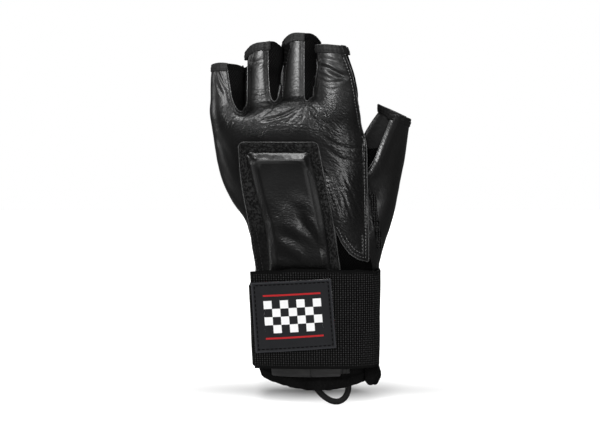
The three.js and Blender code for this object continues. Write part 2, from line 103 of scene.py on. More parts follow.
STALLS = {
    "pinky": dict(lean=-1.0, sag=1.5, rows=table(STALL_COLUMNS, [
        [172, -56.6, -4.0, 11.4, 10.0],
        [188, -57.8, -5.0, 11.5, 10.0],
        [204, -57.8, -7.0, 11.5, 10.0],
        [216, -57.2, -9.0, 10.8, 9.8],
    ])),
    "ring": dict(lean=1.5, sag=5.0, rows=table(STALL_COLUMNS, [
        [176, -34.2, -1.0, 12.2, 11.0],
        [192, -34.3, -1.5, 12.2, 11.0],
        [212, -34.1, -4.0, 12.2, 11.0],
        [230, -33.8, -7.5, 12.0, 10.8],
    ])),
    "middle": dict(lean=-0.3, sag=5.5, rows=table(STALL_COLUMNS, [
        [178, -9.2, 1.0, 13.4, 11.5],
        [194, -9.2, 1.5, 13.4, 11.5],
        [214, -8.9, 0.5, 13.2, 11.3],
        [236, -8.4, -2.5, 12.6, 11.0],
    ])),
    "index": dict(lean=-0.7, sag=0.5, rows=table(STALL_COLUMNS, [
        [174, 14.4, -5.5, 14.6, 11.5],
        [194, 14.3, -9.0, 14.9, 10.9],
        [206, 13.6, -11.5, 13.9, 10.6],
        [213, 12.9, -13.2, 12.6, 10.4],
        [228, 10.4, -16.5, 10.0, 10.0],
    ])),
}
# How far to each side a stall's own panels reach
STALL_REACH = [(-90, -48.0), (-47.2, -22.7), (-22.9, -3.5), (-0.4, 90)]
THUMB = dict(lean=-4.6, sag=0.0, rows=table(STALL_COLUMNS, [
    [82.5, 24.0, 2.0, 18.6, 13.5],
    [95, 27.5, 2.0, 18.2, 13.5],
    [110, 33.5, 2.5, 17.3, 13.5],
    [130, 39.5, 3.0, 16.0, 13.0],
    [147, 42.9, 2.0, 15.4, 12.6],
    [165, 45.6, -1.0, 15.1, 12.2],
    [174, 48.4, -2.6, 13.6, 11.9],
    [184, 52.3, -4.0, 11.1, 11.5],
]))
STALL_POWER = 2.2

# Walls
LEATHER = 1.3
MESH_SINK = 1.2  # the mesh lies this far under the leather's face
MESH_WALL = 1.2
UNDERLAP = 1.8  # and runs on under the leather's edge by this much
RIM_DROP = 0.8  # the panels end this far below a stall's rim, inside its hem

# The palm leather's outline from the front: its lower edge, the flap, the stalls from the index
# to the little finger with the crotches between them
LEATHER_OUTLINE = [
    (-85, 100.6), (-37, 101.5), (-2, 104), (9, 109), (13.2, 106.5), (17.3, 98), (22.5, 90.8), (28.5, 87),
    (35.6, 85), (35.2, 100), (34.5, 130), (34.3, 150), (34.6, 163), (31.2, 176), (29.7, 183), (28.2, 190),
    (27.0, 198), (24.8, 208), (22.1, 216), (18.4, 225), (15.0, 245), (0, 245), (0.2, 221.6), (0.9, 212.9),
    (-0.6, 203.3), (-2.8, 195.2),
    (-4.2, 192.2), (-5.6, 191.4), (-6.9, 192.4), (-7.4, 196.5), (-7.5, 206.1), (-7.5, 215.8), (-7.4, 245),
    (-15.5, 245), (-17.6, 231), (-20.3, 221), (-21.6, 214), (-22.0, 206.1), (-23.3, 198.2), (-24.3, 194),
    (-25.8, 191.8), (-27.4, 191.2), (-28.9, 192.2), (-29.9, 195.5), (-30.6, 203), (-31, 210), (-31.2, 245),
    (-40.5, 245), (-41.5, 229), (-43.5, 222), (-45.2, 215), (-45.4, 203), (-45.5, 192.6), (-46.2, 187.4),
    (-47.8, 184.8), (-49.5, 184.2), (-51.3, 185.4), (-53.4, 188.8), (-55.3, 194), (-56.2, 200), (-57.6, 210),
    (-58.2, 216), (-58.2, 245), (-85, 245),
]
BACK_SEAM = [
    (-90, 0), (-69, 0), (-58, -3), (-46, -3), (-34, 0), (-9, 4), (-3, -3), (2, -11), (7, -12), (13, -8),
    (28, -7), (37, -6), (90, -6),
]
THUMB_EDGE = [(55, 195), (50.2, 181), (46.3, 171.3), (42.5, 161.6), (39.1, 152.9), (35.5, 147.1), (28, 142)]
GUSSET_TOP = 160.0

materials = {}


# The camera, at the photograph's angle

def in_scene(name, data):
    """A new object of the scene with this camera, lamp or mesh."""
    made = bpy.data.objects.new(name, data)
    bpy.context.scene.collection.objects.link(made)
    return made


def look_from(azimuth, elevation, distance, target):
    """A place that looks at the target from this angle, and the turn that points a camera or light there."""
    az, el = math.radians(azimuth), math.radians(elevation)
    away = Vector((-math.sin(az) * math.cos(el), -math.cos(az) * math.cos(el), math.sin(el)))
    return Vector(target) + away * distance, away.to_track_quat("Z", "Y").to_euler()


CAMERA_TARGET = (-0.0102, -0.015, 0.1188)
CAMERA_DISTANCE = 1.6
FRAME_WIDTH = 0.396
camera_data = bpy.data.cameras.new("camera")
camera_data.lens = camera_data.sensor_width * CAMERA_DISTANCE / FRAME_WIDTH
camera = in_scene("camera", camera_data)
camera.location, camera.rotation_euler = look_from(0, 3, CAMERA_DISTANCE, CAMERA_TARGET)
bpy.context.scene.camera = camera

# The floor, the lights and the surroundings

FLOOR_HEIGHT = -0.0106


def soft_light(name, azimuth, elevation, distance, size, power):
    """A soft lamp that looks at the glove: degrees, metres and watts."""
    lamp = bpy.data.lights.new(name, "AREA")
    lamp.shape, lamp.size, lamp.size_y, lamp.energy = "RECTANGLE", *size, power
    light = in_scene(name, lamp)
    light.location, light.rotation_euler = look_from(azimuth, elevation, distance, (-0.01, 0, 0.12))


soft_light("key", 14, 38, 1.4, (0.4, 0.3), 8)
soft_light("overhead", 180, 76, 1.2, (0.9, 0.6), 13)
soft_light("left_side", 94, 4, 1.6, (0.4, 0.6), 5)
soft_light("right_side", -35, 16, 1.5, (0.35, 0.6), 3.8)
soft_light("behind", 180, 36, 1.6, (1.2, 0.7), 14)


def shaded_lamp(name, azimuth, elevation, lit, aim, power, degrees):
    """A small lamp in front, shaded so that it only reaches one part; it is aimed past that part."""
    lamp = bpy.data.lights.new(name, "SPOT")
    lamp.energy, lamp.shadow_soft_size = power, 0.015
    lamp.spot_size, lamp.spot_blend = math.radians(degrees), 0.1
    light = in_scene(name, lamp)
    light.location = look_from(azimuth, elevation, 1.5, lit)[0]
    light.rotation_euler = (light.location - Vector(aim)).to_track_quat("Z", "Y").to_euler()


shaded_lamp("finger_light", 17, -14, (-0.022, 0, 0.205), (-0.022, 0, 0.314), 68, 9.4)
soft_light("thumb_light", 60, -4, 1.5, (0.5, 0.6), 17)
soft_light("pad_light", -4, 84, 1.2, (0.3, 0.3), 3.3)


def node_maker(tree, prefix="ShaderNode"):
    """A function that adds nodes to this emptied tree, set or linked as told, and gives their outputs."""
    tree.nodes.clear()

    def node(kind, settings=None, values=None):
        made = tree.nodes.new(prefix + kind)
        for key, value in (settings or {}).items():
            setattr(made, key, value)
        for key, value in (values or {}).items():
            if isinstance(value, bpy.types.NodeSocket):
                tree.links.new(value, made.inputs[key])
            else:
                made.inputs[key].default_value = value
        return made.outputs

    return node


def lay_floor():
    """A plain pale floor under the glove, which rises a little behind it."""
    mesh = bpy.data.meshes.new("floor")
    steps = [-0.42, -0.1] + [-0.02 + 0.01 * i for i in range(20)] + [1.4]
    rises = [0.055 * smooth_step(-0.02, 0.17, y) for y in steps]
    corners = [(x, y, FLOOR_HEIGHT + rise) for x in (-1.4, 1.4) for y, rise in zip(steps, rises)]
    count = len(steps)
    mesh.from_pydata(corners, [], [(i, i + count, i + count + 1, i + 1) for i in range(count - 1)])
    mesh.shade_smooth()
    floor = in_scene("floor", mesh)
    paint = bpy.data.materials.new("floor_white")
    paint.use_nodes = True
    node = node_maker(paint.node_tree)
    where = node("TexCoord")["Object"]
    shadow_ellipse = node("VectorMath", {"operation": "MULTIPLY_ADD"}, {
        0: where, 1: (0.62, 5.0, 0), 2: (-0.001, -0.1, 0),
    })["Vector"]
    away = node("VectorMath", {"operation": "LENGTH"}, {0: shadow_ellipse})["Value"]
    # Away from the glove the floor glows with painted light, so that it stays as white as the surroundings.
    # Close to the glove, in an ellipse set a little to its right, it does not glow, and that greyer patch is
    # painted shadow around the real one
    painted_glow = node("MapRange", None, {
        "Value": away, "From Min": 0.01, "From Max": 0.12, "To Min": 0.0, "To Max": 0.9,
    })["Result"]
    matt = node("BsdfDiffuse", None, {"Color": (0.45, 0.45, 0.45, 1)})["BSDF"]
    shine = node("Emission", None, {"Strength": painted_glow})["Emission"]
    both = node("AddShader", None, {0: matt, 1: shine})["Shader"]
    # Shiny things see a dim floor
    dim = node("Emission", None, {"Strength": 0.06})["Emission"]
    glossy = node("LightPath")["Is Glossy Ray"]
    mixed = node("MixShader", None, {"Fac": glossy, 1: both, 2: dim})["Shader"]
    node("OutputMaterial", None, {"Surface": mixed})
    mesh.materials.append(paint)


lay_floor()


def surroundings():
    """White to the camera and to the matt surfaces, dim to the shiny ones."""
    world = bpy.data.worlds.new("studio")
    bpy.context.scene.world = world
    world.use_nodes = True
    node = node_maker(world.node_tree)
    rays = node("LightPath")
    lit = node("Mix", {"data_type": "RGBA"}, {
        "Factor": rays["Is Glossy Ray"], "A": (0.28, 0.28, 0.28, 1), "B": (0.03, 0.03, 0.031, 1),
    })["Result"]
    seen = node("Mix", {"data_type": "RGBA"}, {
        "Factor": rays["Is Camera Ray"], "A": lit, "B": (1.0, 1.0, 1.0, 1),
    })["Result"]
    background = node("Background", None, {"Color": seen})["Background"]
    node("OutputWorld", None, {"Surface": background})


surroundings()
bpy.context.scene.view_settings.view_transform = "Standard"


# Materials

def reckon(operation, swapped=False):
    """A method that works this out with its value and the values given, which come first if swapped."""
    def method(self, *others):
        values = (*others, self) if swapped else (self, *others)
        return self.finish.node("Math", {"operation": operation}, dict(enumerate(values)))

    return method


class Wire:
    """A value in a material that can be reckoned with."""

    def __init__(self, finish, socket):
        self.finish, self.socket = finish, socket

    __add__, __radd__ = reckon("ADD"), reckon("ADD", swapped=True)
    __sub__, __rsub__ = reckon("SUBTRACT"), reckon("SUBTRACT", swapped=True)
    __mul__, __rmul__ = reckon("MULTIPLY"), reckon("MULTIPLY", swapped=True)
    __truediv__, __pow__ = reckon("DIVIDE"), reckon("POWER")
    above, below = reckon("GREATER_THAN"), reckon("LESS_THAN")
    least, most = reckon("MINIMUM"), reckon("MAXIMUM")
    sine, size = reckon("SINE"), reckon("ABSOLUTE")
    wrap, floor = reckon("FRACT"), reckon("FLOOR")

    def fade(self, low, high, start=0.0, end=1.0):
        """From start to end as this goes from low to high, level outside."""
        settings = {"interpolation_type": "SMOOTHSTEP"}
        return self.finish.node("MapRange", settings, {
            "Value": self, "From Min": low, "From Max": high, "To Min": start, "To Max": end,
        })


class Finish:
    """A material, made with nodes around one shader."""

    def __init__(self, name, shine):
        material = bpy.data.materials.new(name)
        material.use_nodes = True
        self.tree = material.node_tree
        self.shader = self.tree.nodes["Principled BSDF"]
        self.shader.inputs["Specular IOR Level"].default_value = shine
        materials[name] = material

    def set(self, socket, value):
        if isinstance(value, Wire):
            self.tree.links.new(value.socket, socket)
        else:
            socket.default_value = value

    def node(self, kind, settings=None, values=None, out=0):
        node = self.tree.nodes.new("ShaderNode" + kind)
        for key, value in (settings or {}).items():
            setattr(node, key, value)
        for key, value in (values or {}).items():
            self.set(node.inputs[key], value)
        return Wire(self, node.outputs[out])

    def place(self, scale):
        """Object coordinates in units of 1/scale metres."""
        where = self.node("TexCoord", out="Object")
        return self.node("Mapping", None, {"Vector": where, "Scale": np.broadcast_to(scale, 3).tolist()})

    def axes(self, where):
        apart = self.node("SeparateXYZ", None, {"Vector": where})
        return [Wire(self, out) for out in apart.socket.node.outputs]

    def noise(self, where, detail=3.0, rough=0.55):
        return self.node("TexNoise", None, {
            "Vector": where, "Scale": 1.0, "Detail": detail, "Roughness": rough,
        })

    def cells(self, where, feature, **values):
        values = {"Vector": where, "Scale": 1.0, **values}
        return self.node("TexVoronoi", {"feature": feature}, values, "Distance")

    def mask(self, name):
        return self.node("Attribute", {"attribute_name": name}, out="Fac")

    def mix(self, share, a, b):
        """Between two colours."""
        node = self.tree.nodes.new("ShaderNodeMix")
        node.data_type = "RGBA"
        for key, value in (("Factor", share), ("A", a), ("B", b)):
            socket = next(s for s in node.inputs if s.name == key and s.enabled)
            self.set(socket, value)
        return Wire(self, next(s for s in node.outputs if s.enabled))

    def bump(self, height, depth, normal=None):
        """Shading for a height of 0 to 1 that stands for depth metres."""
        values = {"Height": height, "Distance": depth, "Strength": 1.0}
        if normal is not None:
            values["Normal"] = normal
        return self.node("Bump", None, values)

    def finish(self, color, rough, normal=None):
        for key, value in (("Base Color", color), ("Roughness", rough), ("Normal", normal)):
            if value is not None:
                self.set(self.shader.inputs[key], value)


def grey(value):
    return (value, value, value, 1)


def leather(name, dark, light, rough, grain=620.0, grain_depth=0.00021, wrinkle_depth=0.00001, shine=0.8,
            stall_dull=0.0, smooth_above=1.0, calm=1.0):
    """Black grained leather: small ripples that run with the strain, finer pebbles on them, soft wrinkles."""
    f = Finish(name, shine)
    warped = f.node("VectorMath", {"operation": "MULTIPLY_ADD"}, {
        0: f.node("TexNoise", None, {"Vector": f.place(150.0), "Scale": 1.0, "Detail": 2.0}, "Color"),
        1: (0.0022, 0.0022, 0.0022), 2: f.place(1.0),
    })
    x, y, z = f.axes(warped)
    bent = z + (x + 0.012) * (x + 0.012) * 9.0
    rippled = f.node("CombineXYZ", None, {
        "X": x * (grain * 0.6), "Y": y * (grain * 0.6), "Z": bent * (grain * 1.12),
    })
    ripples = f.cells(rippled, "SMOOTH_F1", Smoothness=0.5)
    pebbles = f.cells(f.node("Mapping", None, {"Vector": warped, "Scale": [grain * 1.6] * 3}),
                      "SMOOTH_F1", Smoothness=0.3)
    fine = f.noise(f.place(2600.0), 3.0)
    patchy = f.noise(f.place(32.0), 3.0)
    folds = f.noise(f.node("Mapping", None, {
        "Vector": warped, "Scale": (95.0, 95.0, 210.0), "Rotation": (0, math.radians(-24), 0),
    }), 2.0, 0.5)
    lines = (1 - (folds - 0.5).size() * 6.0).most(0.0) * patchy.fade(0.42, 0.62)
    # Smoother where it is stretched: the palm's left, above the pad, the fingers and the thumb
    lively = x.fade(-0.068, -0.042, 0.3, 1.0) * z.fade(smooth_above - 0.02, smooth_above, 1.0, 0.25)
    lively = lively * z.fade(0.19, 0.205, 1.0, 0.5) * x.fade(0.036, 0.042, 1.0, 0.3)
    lively = lively * x.fade(-0.002, 0.012).most(z.fade(0.166, 0.176, calm, 1.0))
    normal = f.bump((1 - ripples) * lively, grain_depth)
    normal = f.bump((1 - pebbles) * lively, grain_depth * 0.3, normal)
    normal = f.bump(1 - lines, wrinkle_depth, normal)
    # This mask makes the leather paler and a little smoother where it is above zero, as at worn cut edges;
    # below zero, on the pad's right wall and top crest, it paints the colour darker as painted shade and
    # makes it duller
    wear_and_painted_light = f.mask("wear_and_painted_light")
    shade = (patchy.fade(0.35, 0.7) * 0.35 + fine * 0.2 + wear_and_painted_light * 0.9).least(1.0)
    color = f.mix(shade, grey(dark), grey(light))
    # The stretched leather over the fingers is duller
    dull = z.fade(0.176, 0.196) * stall_dull
    sheen = rough + (patchy - 0.5) * 0.12 + (fine - 0.5) * 0.08 - wear_and_painted_light * 0.06 + dull
    f.finish(color, sheen, normal)


leather("leather", 0.0025, 0.007, 0.32, stall_dull=0.1, calm=0.35)
leather("hem_leather", 0.002, 0.006, 0.62, grain=900.0, grain_depth=0.00025, wrinkle_depth=0.00008,
        shine=0.45)
leather("pad_leather", 0.0025, 0.005, 0.34, grain=850.0, grain_depth=0.00013, wrinkle_depth=0.00002,
        smooth_above=0.14)
# Pale leather for the raised welts: its pale colour is painted highlight along the edges
leather("edge_leather_painted_highlight", 0.012, 0.075, 0.36, grain=1500.0, grain_depth=0.00005, wrinkle_depth=0.00003)


def mesh_cloth(name, dark, light, front=1.0):
    """Stretch mesh: rows of small open loops."""
    f = Finish(name, 0.08)
    x, y, z = f.axes(f.place(1000.0))
    across = (x + y * 0.8) * (math.pi / 0.75)
    up = z * (math.pi / 0.62)
    loops = (across + up.sine() * 0.9).sine() * (up * 0.5 + across * 0.25).sine()
    patchy = f.noise(f.place(60.0), 2.0)
    # The colour is a little lighter on the loops' tops than between them, painted shade, with painted glints
    # on the crests
    height = loops * 0.5 + 0.5
    painted_glint = height.fade(0.7, 0.98) * patchy.fade(0.35, 0.65)
    # With a small front share the colour is near black at the front and lighter over the back: painted light
    # on the back's copy of the mesh
    painted_light_share = y.fade(-4.0, 8.0, front, 1.0)
    color = f.mix((height * 0.12 + painted_glint).least(1.0) * painted_light_share, grey(dark), grey(light))
    f.finish(color, 0.85 + (patchy - 0.5) * 0.15, f.bump(height, 0.0004))


def twisted_thread(name, dark, light):
    """Twisted thread with a slight shine."""
    f = Finish(name, 0.5)
    x, y, z = f.axes(f.place(1000.0))
    twist = ((x + y + z) * 9.0).sine() * 0.5 + 0.5
    f.finish(f.mix(twist, grey(dark), grey(light)), 0.5 + twist * 0.1, f.bump(twist, 0.00006))


def dark_thread():
    """Matt thread, pulled into the patch."""
    Finish("dark_thread", 0.1).finish(grey(0.0012), 0.85)


def frame_patch():
    """Rough synthetic leather: mottled black with a pebbled face and a paler cut edge."""
    f = Finish("frame_patch", 0.2)
    lumps = f.cells(f.place(780.0), "SMOOTH_F1", Smoothness=0.4)
    fine = f.noise(f.place(1500.0), 4.0, 0.65)
    patchy = f.noise(f.place(620.0), 3.0, 0.6)
    x, _, z = f.axes(f.place(1.0))
    # Blacker down the left leg
    low_left = z.fade(0.100, 0.118, 1.0, 0.0) * x.fade(-0.034, -0.026, 1.0, 0.0)
    spots = patchy.fade(0.47, 0.58) * (1 - low_left * 0.85)
    wear_and_painted_light = f.mask("wear_and_painted_light")
    shade = (spots * 0.62 + fine * 0.1 + wear_and_painted_light * 1.2).least(1.0)
    f.finish(f.mix(shade, grey(0.0010), grey(0.028)), 0.78 - spots * 0.26 + (fine - 0.5) * 0.2,
             f.bump((1 - lumps) * 0.5 + fine * 0.5, 0.0003))


def webbing():
    """Woven elastic: ribs across a fine grid, with a smoother selvedge along each edge."""
    f = Finish("webbing", 0.05)
    u, v, _ = f.axes(f.node("UVMap", {"uv_map": "weave"}))
    pick, end = u * (10 / 1.6), v * (10 / 1.45)
    column, row = pick.wrap() - 0.5, end.wrap() - 0.5
    over = ((pick.floor() + end.floor()) * 0.5).wrap().above(0.25)
    warp = 1 - (column * 2).size() ** 2.0
    weft = 1 - (row * 2).size() ** 2.0
    weave = warp * (0.75 + over * 0.25) * 0.6 + weft * (1 - over * 0.25) * 0.4
    selvedge = f.mask("selvedge")
    fibre = f.noise(f.place(1900.0), 3.0, 0.6)
    patchy = f.noise(f.place(45.0), 3.0)
    ribs = ((v * (10 / 0.5)) * (2 * math.pi)).sine() * 0.5 + 0.5
    height = weave * (1 - selvedge) + selvedge * (0.6 + ribs * 0.3) + fibre * 0.25
    # Painted glints at the weave's crossings; the colour is also a little lighter where the weave stands up
    # and on the selvedge ribs: painted shade
    painted_glints = weave.fade(0.6, 0.9) * (0.45 + fibre.fade(0.4, 0.7) * 0.55) * (1 - selvedge)
    shade = (height * 0.015 + patchy * 0.015 + painted_glints * 0.9 + selvedge * ribs * 0.1).least(1.0)
    f.finish(f.mix(shade, grey(0.0003), grey(0.055)), 0.8 + (fibre - 0.5) * 0.2, f.bump(height, 0.00022))


def cuff_cloth():
    """Brushed knitted lining, matt and a little fluffy."""
    f = Finish("cuff_cloth", 0.04)
    fluff = f.noise(f.place(1400.0), 5.0, 0.7)
    knit = f.cells(f.place((620.0, 620.0, 430.0)), "F1")
    patchy = f.noise(f.place(90.0), 3.0)
    height = (1 - knit) * 0.5 + fluff * 0.7
    shade = (fluff.fade(0.5, 0.8) * 0.5 + patchy * 0.25).least(1.0)
    f.finish(f.mix(shade, grey(0.0012), grey(0.022)), 0.95 - patchy * 0.08, f.bump(height, 0.00045))


def patch_rubber():
    """Charcoal rubberised patch: a fine cloth grain, a paler rim and a chequered band between two lines."""
    f = Finish("patch_rubber", 0.2)
    u, v, _ = f.axes(f.node("UVMap", {"uv_map": "weave"}))
    across, up = u * 10, v * 10
    fine = f.noise(f.place(1700.0), 4.0, 0.6)
    cloth = ((across * 8.2).sine() * (up * 8.2).sine()) * 0.5 + 0.5
    patchy = f.noise(f.place(55.0), 3.0)
    wander = (f.noise(f.place(260.0), 2.0) - 0.5) * 0.5
    left, right, low, high = 7.3, 45.1, 12.4, 34.0
    square = 5.4
    strayed = across + wander * 0.3
    in_band = strayed.above(left) * strayed.below(right) * up.above(low) * up.below(high)
    column, row = ((across - left) / square).floor(), ((up - low) / square).floor()
    chequer = ((column + row) * 0.5).wrap().above(0.25)
    white = in_band * chequer
    reach = across.above(left) * across.below(right)
    upper = (up - 37.4 + wander * 0.2).size().below(0.6)
    lower = (up - 9.0 + wander * 0.2).size().below(0.6)
    red = (upper + lower).least(1.0) * reach
    rim = f.mask("rim")
    charcoal, paler = (0.0080, 0.0084, 0.0098, 1), (0.030, 0.031, 0.035, 1)
    base = f.mix((cloth * 0.25 + patchy * 0.25 + rim * 0.9).least(1.0), charcoal, paler)
    color = f.mix(white, base, f.mix(patchy, grey(0.78), grey(0.86)))
    color = f.mix(red, color, (0.42, 0.012, 0.015, 1))
    print_edge = (white + red).least(1.0)
    height = cloth * 0.25 + fine * 0.2 + print_edge * 0.8
    f.finish(color, 0.58 + (fine - 0.5) * 0.15 - print_edge * 0.06, f.bump(height, 0.00012))


def tab_rubber():
    """Smooth dark grey synthetic, softly scuffed."""
    f = Finish("tab_rubber", 0.5)
    fine = f.noise(f.place(1600.0), 4.0)
    scuff = f.noise(f.place((60.0, 60.0, 500.0)), 4.0, 0.65)
    shade = (scuff.fade(0.4, 0.7) * 0.6 + fine * 0.3).least(1.0)
    f.finish(f.mix(shade, grey(0.018), grey(0.040)), 0.46 + (scuff - 0.5) * 0.25,
             f.bump(fine * 0.6 + scuff * 0.4, 0.00005))


def cord():
    """Thin sheathed cord with slanting strands."""
    f = Finish("cord", 0.35)
    u, v, _ = f.axes(f.node("UVMap", {"uv_map": "weave"}))
    strands = ((u * 10 + v * 7) * 5.4).sine() * ((u * 10 - v * 7) * 5.4).sine() * 0.5 + 0.5
    fibre = f.noise(f.place(2200.0), 3.0)
    shade = strands * 0.5 + fibre * 0.4
    relief = f.bump(strands + fibre * 0.3, 0.00012)
    f.finish(f.mix(shade, grey(0.003), grey(0.016)), 0.7 - strands * 0.1, relief)


mesh_cloth("mesh_cloth", 0.0003, 0.012)
# A lighter copy for the back, faded to near black towards the front: painted light, as the back is lit only
# dimly
mesh_cloth("back_cloth_painted_light", 0.0006, 0.06, front=0.08)
twisted_thread("thread", 0.006, 0.018)
# Worn grey on the flap's edge
twisted_thread("pale_thread", 0.09, 0.25)
for make in (dark_thread, frame_patch, webbing, cuff_cloth, patch_rubber, tab_rubber, cord):
    make()


# Fields: how far points lie outside a form

PITCH = 0.85


def smooth_min(a, b, reach):
    """The nearer of two fields, rounded where they meet."""
    h = np.clip(0.5 + 0.5 * (b - a) / reach, 0, 1)
    return b * (1 - h) + a * h - reach * h * (1 - h)


def mound_depth(x, z):
    """How far the soft mounds push the palm out at x, z."""
    total = np.zeros(np.broadcast(x, z).shape)
    for mx, mz, wide, high, depth in zip(*(MOUNDS[k] for k in ("x", "z", "wide", "high", "depth"))):
        total = total + depth * np.exp(-(((x - mx) / wide) ** 2 + ((z - mz) / high) ** 2))
    return total


def crotch_height(x):
    """The height of the palm's top edge between the stalls."""
    return 189.5 - 5.5 * hill(x + 49, 14) + 3 * hill(x + 10, 22)


class Block:
    """A block of evenly spaced points that fields are worked out on."""

    def __init__(self, low, high):
        self.low = np.array(low, float)
        self.axes = [np.arange(a, b, PITCH) for a, b in zip(low, high)]
        x, y, z = self.axes
        self.x, self.y, self.z = x[:, None, None], y[None, :, None], z[None, None, :]

    def distance(self, level, flattest=0.02):
        """A level that is 1 on a form's skin, as a distance from it."""
        steep = np.sqrt(sum(g**2 for g in np.gradient(level, PITCH)))
        return (level - 1) / np.maximum(steep, flattest)

    def sample(self, field, points):
        """The field between the block's points."""
        at_cell = (points - self.low) / PITCH
        i = np.clip(np.floor(at_cell).astype(int), 0, np.array(field.shape) - 2)
        f = np.clip(at_cell - i, 0, 1)
        total = 0.0
        for corner in np.ndindex(2, 2, 2):
            share = np.prod(np.where(corner, f, 1 - f), axis=1)
            total = total + share * field[tuple((i + corner).T)]
        return total


def rounded_level(u, v, power):
    return (np.abs(u) ** power + np.abs(v) ** power) ** (1 / power)


def middle_and_half(s):
    """An outline's middle and half width sideways, then the same from front to back."""
    return ((s["left"] + s["right"]) / 2, (s["right"] - s["left"]) / 2,
            (s["front"] + s["back"]) / 2, (s["back"] - s["front"]) / 2)


def round_outline(s, angles, out):
    """Places round an outline at these angles, moved out by this much."""
    u, v = rounded_point(angles, s["power"])
    middle_x, half_x, middle_y, half_y = middle_and_half(s)
    return middle_x + (half_x + out) * u, middle_y + (half_y + out) * v


def body_field(block):
    """The palm and wrist as one form, which ends in the curved edge between the stalls."""
    s = at(BODY, block.axes[2])
    middle_x, half_x, middle_y, half_y = middle_and_half(s)
    v = block.y - middle_y
    deep = half_y + np.where(v < 0, mound_depth(block.x, block.z), 0)
    side = block.distance(rounded_level((block.x - middle_x) / half_x, v / deep, s["power"]))
    top = block.z - crotch_height(block.x)
    return -smooth_min(-side, -np.broadcast_to(top, side.shape), 7.0)


def stall_level(stall, x, y, z):
    """1 on the stall's skin, and the place across it from -1 to 1."""
    s = at(stall["rows"], z)
    u = (x - s["x"]) / s["wide"]
    return rounded_level(u, (y - s["y"]) / s["deep"], STALL_POWER), u


def stall_field(block, stall):
    """A stall's tube, which sinks into the hand towards its root."""
    level = stall_level(stall, block.x, block.y, block.axes[2])[0]
    root = stall["rows"]["z"][0]
    sink = 6 * (1 - smooth_step(root - 16, root + 12, block.z))
    sink = sink + 30 * (1 - smooth_step(root - 26, root - 12, block.z))
    return block.distance(level, 0.06) + sink


def rim_height(stall, u):
    """The height of a stall's open end across its width."""
    u = np.clip(u, -1.1, 1.1)
    return stall["rows"]["z"][-1] + stall["lean"] * u - stall["sag"] * u**4


# Skins: meshes at a field's zero, cut into panels

def skin(field, block):
    """Points and faces of the surface at the field's zero: one point in each cell that it crosses."""
    shape = np.array(field.shape) - 1
    total, count = np.zeros((*shape, 3)), np.zeros(shape)
    inside = field < 0
    crossings = []
    for axis in range(3):
        lower = [slice(None)] * 3
        upper = [slice(None)] * 3
        lower[axis], upper[axis] = slice(0, -1), slice(1, None)
        a, b = field[tuple(lower)], field[tuple(upper)]
        crossed = inside[tuple(lower)] != inside[tuple(upper)]
        share = np.where(crossed, a / np.where(crossed, a - b, 1), 0)
        crossings.append((crossed, inside[tuple(lower)]))
        others = [k for k in range(3) if k != axis]
        for p, q in np.ndindex(2, 2):
            window = [slice(None)] * 3
            window[others[0]] = slice(p, shape[others[0]] + p)
            window[others[1]] = slice(q, shape[others[1]] + q)
            here = crossed[tuple(window)]
            offset = np.zeros(3)
            offset[others[0]], offset[others[1]] = p, q
            for k in range(3):
                total[..., k] += np.where(here, share[tuple(window)] if k == axis else offset[k], 0)
            count += here
    used = count > 0
    number = np.full(shape, -1)
    number[used] = np.arange(used.sum())
    cells = np.argwhere(used)
    points = block.low + PITCH * (cells + total[used] / count[used][:, None])
    quads = []
    for axis, (crossed, from_inside) in enumerate(crossings):
        p, q = [(1, 2), (2, 0), (0, 1)][axis]
        edges = np.argwhere(crossed)
        keep = (edges[:, p] > 0) & (edges[:, q] > 0) & (edges[:, p] < shape[p]) & (edges[:, q] < shape[q])
        edges = edges[keep]
        back_p, back_q = np.eye(3, dtype=int)[p], np.eye(3, dtype=int)[q]
        ring = [edges - back_p - back_q, edges - back_q, edges, edges - back_p]
        quad = np.stack([number[tuple(cell.T)] for cell in ring], axis=1)
        outward = from_inside[tuple(edges.T)]
        quads.append(np.where(outward[:, None], quad, quad[:, ::-1]))
    return points, halved(np.concatenate(quads))


def halved(squares):
    """Each square as two triangles."""
    return np.concatenate([squares[:, [0, 1, 2]], squares[:, [0, 2, 3]]])


def listed(x, y, z):
    """Places on a grid as one list of points."""
    return np.stack([x, y, z], axis=-1).reshape(-1, 3)


def unit(rows):
    """Directions drawn to a length of 1."""
    return rows / np.maximum(np.linalg.norm(rows, axis=1, keepdims=True), 1e-9)


def smallest(first, *others):
    """The smallest of several fields at each place."""
    for other in others:
        first = np.minimum(first, other)
    return first


def point_normals(points, faces):
    """The outward direction at each point."""
    a, b, c = points[faces].transpose(1, 0, 2)
    across = np.cross(b - a, c - a)
    normals = np.zeros_like(points)
    for corner in range(3):
        np.add.at(normals, faces[:, corner], across)
    return unit(normals)


def edge_list(faces):
    """Each edge once, how many faces meet there, and the faces' edges by number."""
    ends = np.sort(np.concatenate([faces[:, [0, 1]], faces[:, [1, 2]], faces[:, [2, 0]]]), axis=1)
    edges, number, count = np.unique(ends, axis=0, return_inverse=True, return_counts=True)
    return edges, count, number.ravel()


def relax(points, faces, rounds, share=0.5):
    """Even out the points along the skin, without shrinking it: each round in, then out."""
    edges, count, _ = edge_list(faces)
    points = points.copy()
    degree = np.bincount(edges.ravel(), minlength=len(points))[:, None]
    loose = np.zeros(len(points), bool)
    loose[edges[count == 1].ravel()] = True
    for step in range(2 * rounds):
        total = np.zeros_like(points)
        np.add.at(total, edges[:, 0], points[edges[:, 1]])
        np.add.at(total, edges[:, 1], points[edges[:, 0]])
        move = total / np.maximum(degree, 1) - points
        move[loose] = 0
        points += move * (share if step % 2 == 0 else -share * 1.04)
    return points


def cut_edges(points, faces, value):
    """Where a value's zero cuts a mesh: its edges, each face's edges by number, which are cut, and where."""
    edges, _, number = edge_list(faces)
    a, b = edges.T
    crossed = value[a] * value[b] < 0
    share = np.where(crossed, value[a] / np.where(crossed, value[a] - value[b], 1), 0)
    return edges, number.reshape(3, -1).T, crossed, points[a] + (points[b] - points[a]) * share[:, None]


